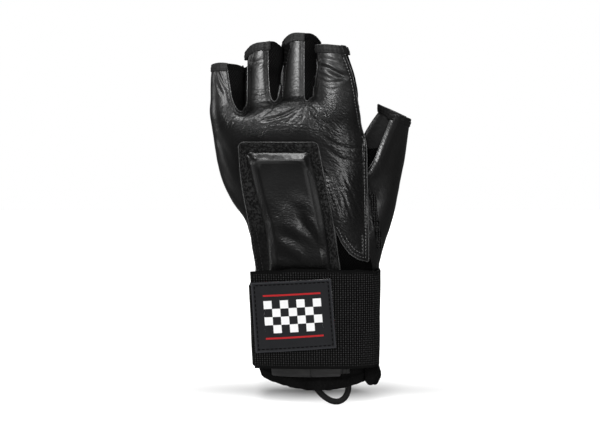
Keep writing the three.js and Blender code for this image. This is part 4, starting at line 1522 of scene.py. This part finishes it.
def strap_surface(x, z):
    s = at(STRAP, z)
    flat = front_surface(s, np.full(np.shape(x), STRAP_FLAT_FROM)) + (STRAP_FLAT_FROM - x) * FREE_END_SLOPE
    return np.where(x < STRAP_FLAT_FROM, flat, front_surface(s, x))


def sheet_on(x, z, y_face, wall):
    """A closed sheet from a face of rows x columns that looks to the front."""
    points, faces = listed(x, y_face, z), halved(grid_faces(*x.shape))
    if point_normals(points, faces)[:, 1].mean() > 0:
        faces = faces[:, ::-1]
    return walled(points, faces, wall)


FRAME = table("z left right", [
    [18, -33, 18.5], [60, -36, 18], [80, -39.3, 16.4], [113, -44.8, 11.5], [138.6, -49.2, 6.5],
    [158.7, -50.8, 2.6], [164.6, -50.9, 1.6],
])
CUSHION = table("z left right height", [
    [17, -29.5, 15.5, 2.4], [50, -30, 13.5, 2.4], [76, -30.2, 10.6, 2.4], [88, -30.8, 9.3, 5.3],
    [106, -33, 6.8, 6.2], [132, -39.5, 1.8, 6.4], [157.6, -45.6, -3.4, 6.4],
])
CUSHION_LIFT = 2.0
BEVEL = 6.5


def rounded_corner(room, radius):
    """How far an outline draws in at a corner, by the room left to its end."""
    d = np.clip(room, 0, radius)
    return radius - np.sqrt(radius**2 - (radius - d) ** 2)


def make_frame():
    """The flat patch round the cushion: rough synthetic leather with a paler cut edge."""
    top = FRAME["z"][-1]
    z = np.concatenate([np.linspace(FRAME["z"][0], 150, 120), np.linspace(150.6, top, 30)])
    across = np.concatenate([[0, 0.008], np.linspace(0.02, 0.98, 66), [0.992, 1]])
    s = at(FRAME, z)
    draw_in = rounded_corner(top - z, 3.6)
    left, right = s["left"] + draw_in, s["right"] - draw_in
    x = left[:, None] + (right - left)[:, None] * across
    z = np.broadcast_to(z[:, None], x.shape).copy()
    spots = listed(x, np.zeros_like(x), z)
    x = x + 0.18 * waves(spots, 71, 11.0).reshape(x.shape) * (np.abs(across - 0.5) > 0.4)
    edge = smallest(x - left[:, None], right[:, None] - x, top - z)
    uneven = waves(spots, 72, 4.0).reshape(x.shape)
    outer_row, inner_row, lift, wall = 1.5, 4.6, 1.9, 1.2
    y = palm_surface(x, z) - lift - 0.14 * uneven
    y = y + groove(edge - outer_row, 0.5, 0.3) + groove(edge - inner_row, 0.5, 0.25)
    y = y + 0.35 * (1 - smooth_step(0, 0.8, edge)) - 0.22 * hill(edge - 3.1, 0.9)
    body, faces = sheet_on(x, z, y, wall)
    piece = add_piece("pad_frame_patch", body, faces, "frame_patch", ("pad_frame",))
    cut = np.ones(len(body))
    cut[:x.size] = 1 - smooth_step(0.0, 0.5, edge.ravel())
    cut[x.size:2 * x.size] = 0
    give_mask(piece, "wear_and_painted_light", cut)
    above_strap = np.minimum(z - 74, 1.0).ravel()
    points, faces = listed(x, y - 0.12, z), halved(grid_faces(*x.shape))

    def rows_at(*insets):
        lines = [level_lines(points, faces, edge.ravel() - inset, above_strap) for inset in insets]
        return [steady(line, 4) for row in lines for line in row]

    return rows_at(outer_row, inner_row), rows_at(0.3)


# The cushion's own dents: a line's corners in x, z, its depth and its half width
CUSHION_DENTS = [
    ([(-12, 118), (-7.6, 110), (-1, 101), (6, 92)], 1.3, 3.4),
    ([(-24, 105), (-16, 102), (-8, 97), (-2, 90)], 1.0, 3.2),
    ([(-27, 92), (-18, 88.5), (-10, 85)], 0.5, 3.0),
    ([(-20, 126), (-12, 121), (-4, 118)], 0.25, 2.8),
    ([(-3, 118), (2, 112), (5, 107)], 0.4, 1.9),
    ([(-12, 104), (-6, 99), (-1, 94)], 0.35, 1.8),
]


def billow(x, y, z, cap):
    """What cloth does over the padding: a pinned cover, blown up a little and made to settle."""
    rows, columns = x.shape
    scale = 0.01
    start = listed(x, y, z) * scale
    mesh = bpy.data.meshes.new("cover")
    mesh.from_pydata(start.tolist(), [], grid_faces(rows, columns).tolist())
    cover = in_scene("cover", mesh)
    number = np.arange(rows * columns).reshape(rows, columns)
    rim = np.unique(np.concatenate([number[0], number[-1], number[:, 0], number[:, -1]]))
    cover.vertex_groups.new(name="pinned").add(rim.tolist(), 1.0, "REPLACE")
    cloth = cover.modifiers.new("cloth", "CLOTH")
    settings = cloth.settings
    settings.vertex_group_mass = "pinned"
    settings.effector_weights.gravity = 0
    settings.use_pressure = True
    settings.uniform_pressure_force = -1.2
    settings.shrink_min = -0.035
    settings.bending_stiffness = 0.8
    settings.quality = 6
    scene = bpy.context.scene
    for frame_number in range(1, 21):
        scene.frame_set(frame_number)
    seen = cover.evaluated_get(bpy.context.evaluated_depsgraph_get())
    moved = np.empty(rows * columns * 3)
    seen.to_mesh().vertices.foreach_get("co", moved)
    scene.frame_set(1)
    bpy.data.objects.remove(cover)
    push = (moved.reshape(-1, 3) - start)[:, 1].reshape(rows, columns) / scale
    return np.clip(push, -cap, cap)


def spread(field, rows, columns):
    """A coarse grid's values on a finer grid."""
    def stretched(lines, count):
        old, new = np.linspace(0, 1, lines.shape[1]), np.linspace(0, 1, count)
        return np.stack([np.interp(new, old, line) for line in lines])

    return stretched(stretched(field, columns).T, rows).T


def cushion_face(rows, columns):
    """The cushion's front as x, y, z grids, how far inside its outline each place is, and its right wall."""
    top = CUSHION["z"][-1]
    z = np.linspace(CUSHION["z"][0], top, rows)
    s = at(CUSHION, z)
    draw_in = rounded_corner(top - z, 3.0)
    left, right = s["left"] + draw_in, s["right"] - draw_in
    across = (1 - np.cos(np.linspace(0, np.pi, columns))) / 2 * 0.5 + np.linspace(0, 1, columns) * 0.5
    x = left[:, None] + (right - left)[:, None] * across
    z = np.broadcast_to(z[:, None], x.shape)
    side = smooth_min(x - left[:, None], right[:, None] - x, 3.0)
    inside = np.maximum(smooth_min(side, (top - z) * 0.98, 3.0), 0)
    wall = smooth_step(-0.6, 1.1, side) * np.sin(np.clip((top - z) / 7.0, 0, 1) * math.pi / 2)
    crowned = np.sin(np.clip(inside / BEVEL, 0, 1) * math.pi / 2)
    straight = smooth_min(inside / (BEVEL * 0.8), 1.0, 0.1)
    right_wall = smooth_step(0.55, 0.7, across) * smooth_step(98, 118, z)
    top_wall = 1 - smooth_step(5.5, 8.0, top - z)
    slope = crowned + (straight - crowned) * np.maximum(right_wall, top_wall)
    height = 0.5 + (s["height"][:, None] - 0.5) * (0.12 * wall + 0.88 * slope)
    # A bead along the top, where the leather is pulled over the splint's end
    from_top = smooth_min(top - z, right[:, None] - x + 2.0 * smooth_step(3, 13, top - z), 9.0)
    upper = smooth_step(118, 146, z)
    bead = 0.3 * (1 - smooth_step(4.9, 6.1, from_top))
    height = height + upper * bead * smooth_step(4.0, 9.0, x - left[:, None])
    y = palm_surface(x, z) - CUSHION_LIFT - height
    return x, y, z, inside, right_wall


def make_cushion():
    """The raised pad over the splint: smooth leather, tight at its top, creased where it bends."""
    rows, columns = 190, 84
    x, y, z, inside, right_wall = cushion_face(rows, columns)
    coarse = cushion_face(64, 30)
    y = y + spread(billow(*coarse[:3], cap=0.9), rows, columns) * smooth_step(0, 4, inside)
    dents = dent_depth(CUSHION_DENTS, x, z, run=0.94, fade=0.5, shoulder=0.4, out=2.2, wide=1.2)
    y = y + dents * smooth_step(0.5, 4.5, inside)
    spots = listed(x, y, z)
    low = 1 - smooth_step(95, 135, z)
    y = y + (0.16 + 0.22 * low) * waves(spots, 81, 12.0).reshape(x.shape) * smooth_step(0, 4, inside)
    y = y + 0.07 * low * waves(spots, 82, 3.4).reshape(x.shape) * smooth_step(0, 3, inside)
    thick = (palm_surface(x, z) - CUSHION_LIFT + 0.1 - y).ravel()
    body, faces = sheet_on(x, z, y, np.maximum(thick, 0.5))
    piece = add_piece("pad_cushion_cover", body, faces, "pad_leather", ("pad_cushion",))
    wear_and_painted_light = np.zeros(len(body))
    # A little paler 5.5 mm in from the edge. Below zero on the right wall and along the top crest, where the
    # leather is made duller and its colour is painted dark: painted shade.
    on_wall = right_wall * smooth_step(150, 146, z) * (1 - smooth_step(BEVEL - 0.5, BEVEL + 1.0, inside))
    crest = smooth_step(4.2, 5.0, inside) * (1 - smooth_step(6.4, 7.4, inside)) * smooth_step(146, 150, z)
    wear_and_painted_light[:x.size] = (0.12 * hill(inside - 5.5, 1.6) - 4.5 * np.maximum(on_wall, crest)).ravel()
    give_mask(piece, "wear_and_painted_light", wear_and_painted_light)


# The wide elastic strap, its patch, and the cuff under it

STRAP = table("z left right front back power", [
    [15.8, -41.9, 42.8, -31.2, 28.2, 3.4],
    [79.5, -44.6, 43.3, -31.2, 27.2, 3.4],
])
STRAP_FLAT_FROM, FREE_END_SLOPE, STRAP_WALL = -30.0, 0.1, 2.2
STRAP_LOW, STRAP_HIGH, STRAP_CROWN, UNDER_LAYER_HIGH = 15.8, 79.5, 2.0, 69.6
STRAP_FROM, STRAP_TO = -120.0, 238.0
STRAP_HALF_WIDTH, FREE_END_X, FREE_END_LOW_X, FREE_END_SLANT = 43, -43.0, -41.0, 3.0
# The patch's edges: x and z of the left corner, then of the right one
LABEL_TOP, LABEL_BOTTOM = (-42.4, 72.3, 9.9, 75.2), (-39.2, 26.2, 13.5, 30.0)
LABEL_WIDE, LABEL_HIGH, LABEL_WALL, LABEL_STITCH_INSET = 52.6, 46.4, 1.5, 2.0


def strap_point(degrees, z, inset):
    """Places round the strap at angles and heights, drawn in by inset, at the layer that lies there."""
    under = smooth_step(0, 1, (degrees - 190) / 35)
    out = -(inset + under * (STRAP_WALL + 0.3))
    return round_outline(at(STRAP, z), np.radians(degrees), out)


def make_strap():
    """The strap from its free end at the front left, over the palm, round the back and under itself."""
    up = np.concatenate([[0, 0.006, 0.014], np.linspace(0.025, 0.975, 52), [0.986, 0.994, 1]])
    outs = np.interp(up, [0, 0.006, 0.014, 0.03, 0.045, 0.955, 0.97, 0.986, 0.994, 1],
                     [-0.9, -0.35, 0.0, 0.16, 0, 0, 0.16, 0.0, -0.35, -0.9])
    angles = np.linspace(STRAP_FROM, STRAP_TO, 300)
    free_x = np.linspace(0, 1, 12)[:-1]
    sections, uv, along, last = [], [], 0.0, None
    for k in range(len(free_x) + len(angles)):
        free = k < len(free_x)
        degrees = angles[0] if free else angles[k - len(free_x)]
        x_low = strap_point(np.array(degrees), np.array(STRAP_LOW), 0)[0]
        if free:
            x_low = FREE_END_LOW_X + (x_low - FREE_END_LOW_X) * free_x[k]
        crowned = STRAP_HIGH + STRAP_CROWN * (1 - (x_low / STRAP_HALF_WIDTH) ** 2)
        drop = smooth_step(110, 180, degrees)
        top = crowned * (1 - drop) + UNDER_LAYER_HIGH * drop
        ripple = 0.35 * math.sin(degrees * 0.11 + x_low * 0.05) + 0.2 * math.sin(degrees * 0.31 + 1.3)
        z = STRAP_LOW + (top + ripple - STRAP_LOW) * up
        face = []
        for inset_sign, heights, bulge in ((0, z, outs), (1, z[::-4], -outs[::-4])):
            wave = 0.22 * np.sin(heights * 0.16 + degrees * 0.07)
            wave = wave + 0.18 * np.sin(heights * 0.07 - degrees * 0.13)
            wave = wave * (0.4 if degrees < -60 else 1.0)
            inset = inset_sign * STRAP_WALL - bulge + wave * 0.6
            if free:
                slant = FREE_END_X + (STRAP_HIGH - heights) / (STRAP_HIGH - STRAP_LOW) * FREE_END_SLANT
                end_x = strap_point(np.full(heights.shape, degrees), heights, 0.0)[0]
                x = slant + (end_x - slant) * free_x[k]
                y = strap_surface(x, heights) + inset
            else:
                x, y = strap_point(np.full(heights.shape, degrees), heights, inset)
            face.append(np.stack([x, y, heights], axis=-1))
        section = np.concatenate(face)
        middle = face[0][len(up) // 2]
        along += 0 if last is None else np.linalg.norm(middle - last)
        last = middle
        uv += [(along, h) for h in section[:, 2]]
        sections.append(section)
    sections = np.array(sections)
    points, faces = through_sections(sections)
    piece = add_piece("wrist_strap_band", points, faces, "webbing", ("wrist_strap",))
    uv += [(0, 40), (along, 40)]
    give_uv(piece, np.array(uv) / 10)
    tops = np.repeat(sections[:, :, 2].max(axis=1), sections.shape[1])
    from_top = np.concatenate([tops, [90, 90]]) - points[:, 2]
    give_mask(piece, "selvedge", 1 - smooth_step(1.6, 2.6, np.minimum(points[:, 2] - STRAP_LOW, from_top)))


def make_label():
    """The stitched rubber patch on the strap, with a raised rim."""
    rows, columns = 90, 100
    up, right = grid_shares(rows, columns)
    l1, zl1, r1, zr1 = LABEL_TOP
    l0, zl0, r0, zr0 = LABEL_BOTTOM

    def between(low, high, share):
        return low * (1 - share) + high * share

    x = between(between(l0, r0, right), between(l1, r1, right), up)
    z = between(between(zl0, zr0, right), between(zl1, zr1, right), up)
    edge = np.minimum(np.minimum(right, 1 - right) * LABEL_WIDE, np.minimum(up, 1 - up) * LABEL_HIGH)
    y = strap_surface(x, z) - 0.45 - LABEL_WALL + 0.5 * (1 - smooth_step(0, 0.7, edge))
    y = y + groove(edge - LABEL_STITCH_INSET, 0.45, 0.35) + 0.22 * smooth_step(2.6, 3.4, edge)
    spots = listed(x, y, z)
    y = y + 0.10 * waves(spots, 91, 20.0).reshape(x.shape)
    body, faces = sheet_on(x, z, y, LABEL_WALL)
    piece = add_piece("label_patch_face", body, faces, "patch_rubber", ("label_patch",))
    give_front_uv(piece, right * LABEL_WIDE, up * LABEL_HIGH)
    rim = np.ones(len(body))
    rim[:x.size] = 1 - smooth_step(0.5, 1.1, edge.ravel())
    give_mask(piece, "rim", rim)
    inside_row = edge.ravel() - LABEL_STITCH_INSET
    row = level_lines(listed(x, y - 0.1, z), halved(grid_faces(rows, columns)), inside_row)
    return [steady(line, 2) for line in row]


CUFF_INSET, CUFF_WALL = 2.1, 2.2


def cuff_low(x):
    return 7 * ((x - 1.5) / 38) ** 2


def make_cuff():
    """The cuff that lines the wrist, with its turned lower hem."""
    angles = full_turn(180)
    up = np.concatenate([np.linspace(0, 0.12, 14), np.linspace(0.135, 1, 36)])
    sections = []
    middle_x, half_x, _, _ = middle_and_half(at(BODY, 8.0))
    for angle in angles:
        x0 = middle_x + half_x * rounded_point(angle, 2.6)[0]
        low = cuff_low(x0) + 0.14 * math.sin(angle * 23) + 0.12 * math.sin(angle * 41 + 1)
        top = 106 - 10 * smooth_step(5, 25, x0)
        loop = []
        for wall, heights in ((0.0, up), (CUFF_WALL, up[::-1])):
            z = low + (top - low) * heights
            from_low = z - low
            roll = np.clip(from_low / 1.3, 0, 1)
            rolled = np.sqrt(roll * (2 - roll))
            hem = 0.9 * (1 - smooth_step(6.5, 7.5, from_low))
            out = (hem - CUFF_INSET) if wall == 0 else (-CUFF_INSET - CUFF_WALL)
            middle = -CUFF_INSET - CUFF_WALL / 2
            out = middle + (out - middle) * rolled
            x, y = round_outline(at(BODY, z), np.full(z.shape, angle), out)
            loop.append(np.stack([x, y, z], axis=-1))
        sections.append(np.concatenate(loop))
    sections = np.array(sections)
    flat = sections.reshape(-1, 3)
    uneven = 0.22 * waves(flat, 101, 9.0) + 0.1 * waves(flat, 102, 3.0)
    flat = flat + unit(flat * (1, 1, 0)) * uneven[:, None]
    points, faces = through_sections(flat.reshape(sections.shape), ring=True)
    add_piece("wrist_cuff_tube", points, faces, "cuff_cloth", ("wrist_cuff",))


def make_cuff_tab():
    """The rounded lug at the cuff's lower corner on the thumb's side."""
    sections = []
    low, rise, high, wall = 3.0, 4.4, 18.0, 4.6
    for share in np.linspace(0, 1, 40):
        degrees = -44 + 48 * share
        along = 2 * share - 1
        bottom = low + rise * along**4 + 0.35 * math.sin(share * 19)
        end = math.sqrt(max(1 - along**8, 0.02))
        turn = full_turn(28)
        c, s = rounded_point(turn, 3.0)
        z = (bottom + high) / 2 + s * (high - bottom) / 2
        out = 0.6 + wall / 2 + c * wall / 2 * end - 2.4 * smooth_step(9, 16, z)
        x, y = round_outline(at(BODY, z), np.full(z.shape, math.radians(degrees)), out - CUFF_INSET)
        sections.append(np.stack([x, y, z], axis=-1))
    points, faces = through_sections(np.array(sections))
    points = points + point_normals(points, faces) * (0.12 * waves(points, 111, 3.0))[:, None]
    add_piece("cuff_tab_lug", points, faces, "cuff_cloth", ("cuff_tab",))


def make_splint_tab():
    """The splint sleeve's smooth lower end, with a thin stitched tail."""
    rows, columns = 26, 120
    t, right = grid_shares(rows, columns)
    x_left, x_right, high, gap, lift, wall = -29.6, 22.5, 20.0, 1.5, 1.9, 1.4
    x = x_left + (x_right - x_left) * right + (1 - t) * 0.9 * (right < 0.5)
    tail = smooth_step(16.2, 17.0, x)
    low = 10.1 - 0.5 * (1 - ((x + 6) / 24) ** 2) + 1.6 * tail + 2.2 * rounded_corner(x - x_left, 2.0) / 2.0
    z = low + (high - low) * t
    edge = smallest(x - x_left, x_right - x, z - low)
    y = cuff_surface(x, z) - gap - lift * (1 - 0.5 * tail) + 0.7 * (1 - smooth_step(0, 1.1, edge))
    body, faces = sheet_on(x, z, y, wall)
    add_piece("splint_tab_end", body, faces, "tab_rubber", ("splint_tab",))

    def row_at(x_at):
        heights = np.linspace(11.9, 16.5, 8)
        return np.array([(x_at, float(cuff_surface(np.array(x_at), np.array(h))) - 2.6, h) for h in heights])

    return [row_at(17.9), row_at(20.6)]


def make_thumb_strip():
    """The narrow webbing strip down the thumb's base."""
    rows, columns, gap, wall = 80, 9, 0.35, 0.9
    t, right = grid_shares(rows, columns, -0.5, 0.5)
    z = 93.5 + 37 * t
    x = 43.0 - 5.6 * t + 3.8 * right + 0.25 * np.sin(t * 9)
    s = at(THUMB["rows"], z)
    outline = {"left": s["x"] - s["wide"], "right": s["x"] + s["wide"], "front": s["y"] - s["deep"],
               "back": s["y"] + s["deep"], "power": STALL_POWER}
    y = front_surface(outline, x) - gap - wall + 0.45 * np.abs(2 * right) ** 6
    body, faces = sheet_on(x, z, y, wall)
    piece = add_piece("thumb_strip_band", body, faces, "webbing", ("thumb_strip",))
    give_front_uv(piece, x, z)
    give_mask(piece, "selvedge", 0.0)
    return [listed(x[:, i], y[:, i] - 0.1, z[:, i]) for i in (2, 6)]  # one row near each edge


# The hanging loop at the cuff, a thin limp cord

LOOP_ROUTE = [
    (-3.2, 8.5), (-1.8, 5), (0.4, 1.4), (3.4, -2.2), (7, -5.4), (11.2, -7.6), (15.4, -7.9), (19, -6),
    (21.1, -2.6), (21.9, 1.2), (22, 5), (21.8, 8.5),
]
LOOP_DEPTH, LOOP_SLANT, LOOP_THICK = -13.6, 0.09, 4.2


def loop_path(per_span=7):
    """A smooth line through the loop's route, in millimetres: a centripetal Catmull-Rom curve."""
    corners = np.array([(x, LOOP_DEPTH + LOOP_SLANT * x, z) for x, z in LOOP_ROUTE])
    corners = np.concatenate([[2 * corners[0] - corners[1]], corners, [2 * corners[-1] - corners[-2]]])

    def blend(a, b, from_t, to_t, t):
        return (to_t - t) / (to_t - from_t) * a + (t - from_t) / (to_t - from_t) * b

    line = []
    for p0, p1, p2, p3 in zip(corners, corners[1:], corners[2:], corners[3:]):
        t0 = 0.0
        t1 = t0 + np.linalg.norm(p1 - p0) ** 0.5
        t2 = t1 + np.linalg.norm(p2 - p1) ** 0.5
        t3 = t2 + np.linalg.norm(p3 - p2) ** 0.5
        for t in np.linspace(t1, t2, per_span, endpoint=False):
            a1 = blend(p0, p1, t0, t1, t)
            a2 = blend(p1, p2, t1, t2, t)
            a3 = blend(p2, p3, t2, t3, t)
            b1 = blend(a1, a2, t0, t2, t)
            b2 = blend(a2, a3, t1, t3, t)
            line.append(blend(b1, b2, t1, t2, t))
    line.append(corners[-2])
    return np.array(line)


def make_loop():
    """The cord, a thin round sheath with a seam along it."""
    path = loop_path()
    turn = full_turn(28)
    onward = unit(np.gradient(path, axis=0))
    # The loop lies in one upright plane, so one direction is square to it all along
    side = np.array([LOOP_SLANT, -1.0, 0.0])
    side /= np.linalg.norm(side)
    inward = np.cross(onward, side)
    along = lengths_along(path)
    radius, inside_shell = LOOP_THICK / 2, 0.96
    seam = hill(turn - 2.2, 0.28) * 0.34
    braid = 0.05 * np.sin(turn[None, :] * 6 + along[:, None] * 2.6)
    r = radius * inside_shell - seam[None, :] + braid
    sections = path[:, None, :] + r[..., None] * (
        np.cos(turn)[None, :, None] * side + np.sin(turn)[None, :, None] * inward[:, None, :]
    )
    points, faces = through_sections(sections)
    piece = add_piece("hang_loop_cord", points, faces, "cord", ("hang_loop",))
    uv = np.stack(np.broadcast_arrays(along[:, None], turn[None, :] * radius), axis=-1).reshape(-1, 2)
    give_uv(piece, np.concatenate([uv, [[0, 0], [along[-1], 0]]]) / 10)


# The glove, made

def on_flap_edge(line):
    """Whether a stitch row lies on the flap or down the palm's thumb side."""
    return line[:, 2].min() < 110 or line[:, 0].mean() > 20


LEATHER_STITCH = {"pitch": 2.2, "length": 1.5}
make_loop()
hand_points, hand_faces, hand_block, body_values, palm_rows, palm_welts = make_hand()
make_mesh_layer(hand_points, hand_faces)
thumb_rows, thumb_welts = make_thumb(body_values, hand_block)
hem_stitch_rows = make_hems()
flap_rows = [line for line in palm_rows if on_flap_edge(line)]
stall_rows = [line for line in palm_rows if not on_flap_edge(line)]
sew("flap_stitches", flap_rows, "leather", "pale_thread", thickness=0.22, **LEATHER_STITCH)
sew("stall_stitches", stall_rows, "leather", thickness=0.2, **LEATHER_STITCH)
sew("thumb_stitches", thumb_rows, "leather", thickness=0.2, **LEATHER_STITCH)
add_welts("palm_welt", palm_welts)
add_welts("thumb_welt", thumb_welts, radius=0.3)
sew("hem_stitches", hem_stitch_rows, "hem_leather", thickness=0.17, pitch=2.2, length=1.4)
frame_rows, frame_welts = make_frame()
make_cushion()
make_strap()
label_rows = make_label()
make_cuff()
make_cuff_tab()
tab_rows = make_splint_tab()
strip_rows = make_thumb_strip()
sew("frame_stitches", frame_rows, "hem_leather", thickness=0.26)
# The frame's edge welt, pale with painted highlight
add_welts("frame_edge", frame_welts, radius=0.36, pitch=4.0)
sew("label_stitches", label_rows, "patch_rubber", "dark_thread", thickness=0.34, length=2.3, pitch=2.9)
sew("tab_stitches", tab_rows, "tab_rubber", pitch=1.6, length=1.3)
sew("strip_stitches", strip_rows, "elastic_webbing")


# The lamps for one part only

def light_only(name, *names):
    """This light reaches only these pieces."""
    lit = bpy.data.collections.new(name + "_reach")
    for piece in names:
        lit.objects.link(bpy.data.objects[piece])
    bpy.data.objects[name].light_linking.receiver_collection = lit


light_only("thumb_light", "thumb_leather_skin", "thumb_welt")
light_only("pad_light", "pad_cushion_cover")
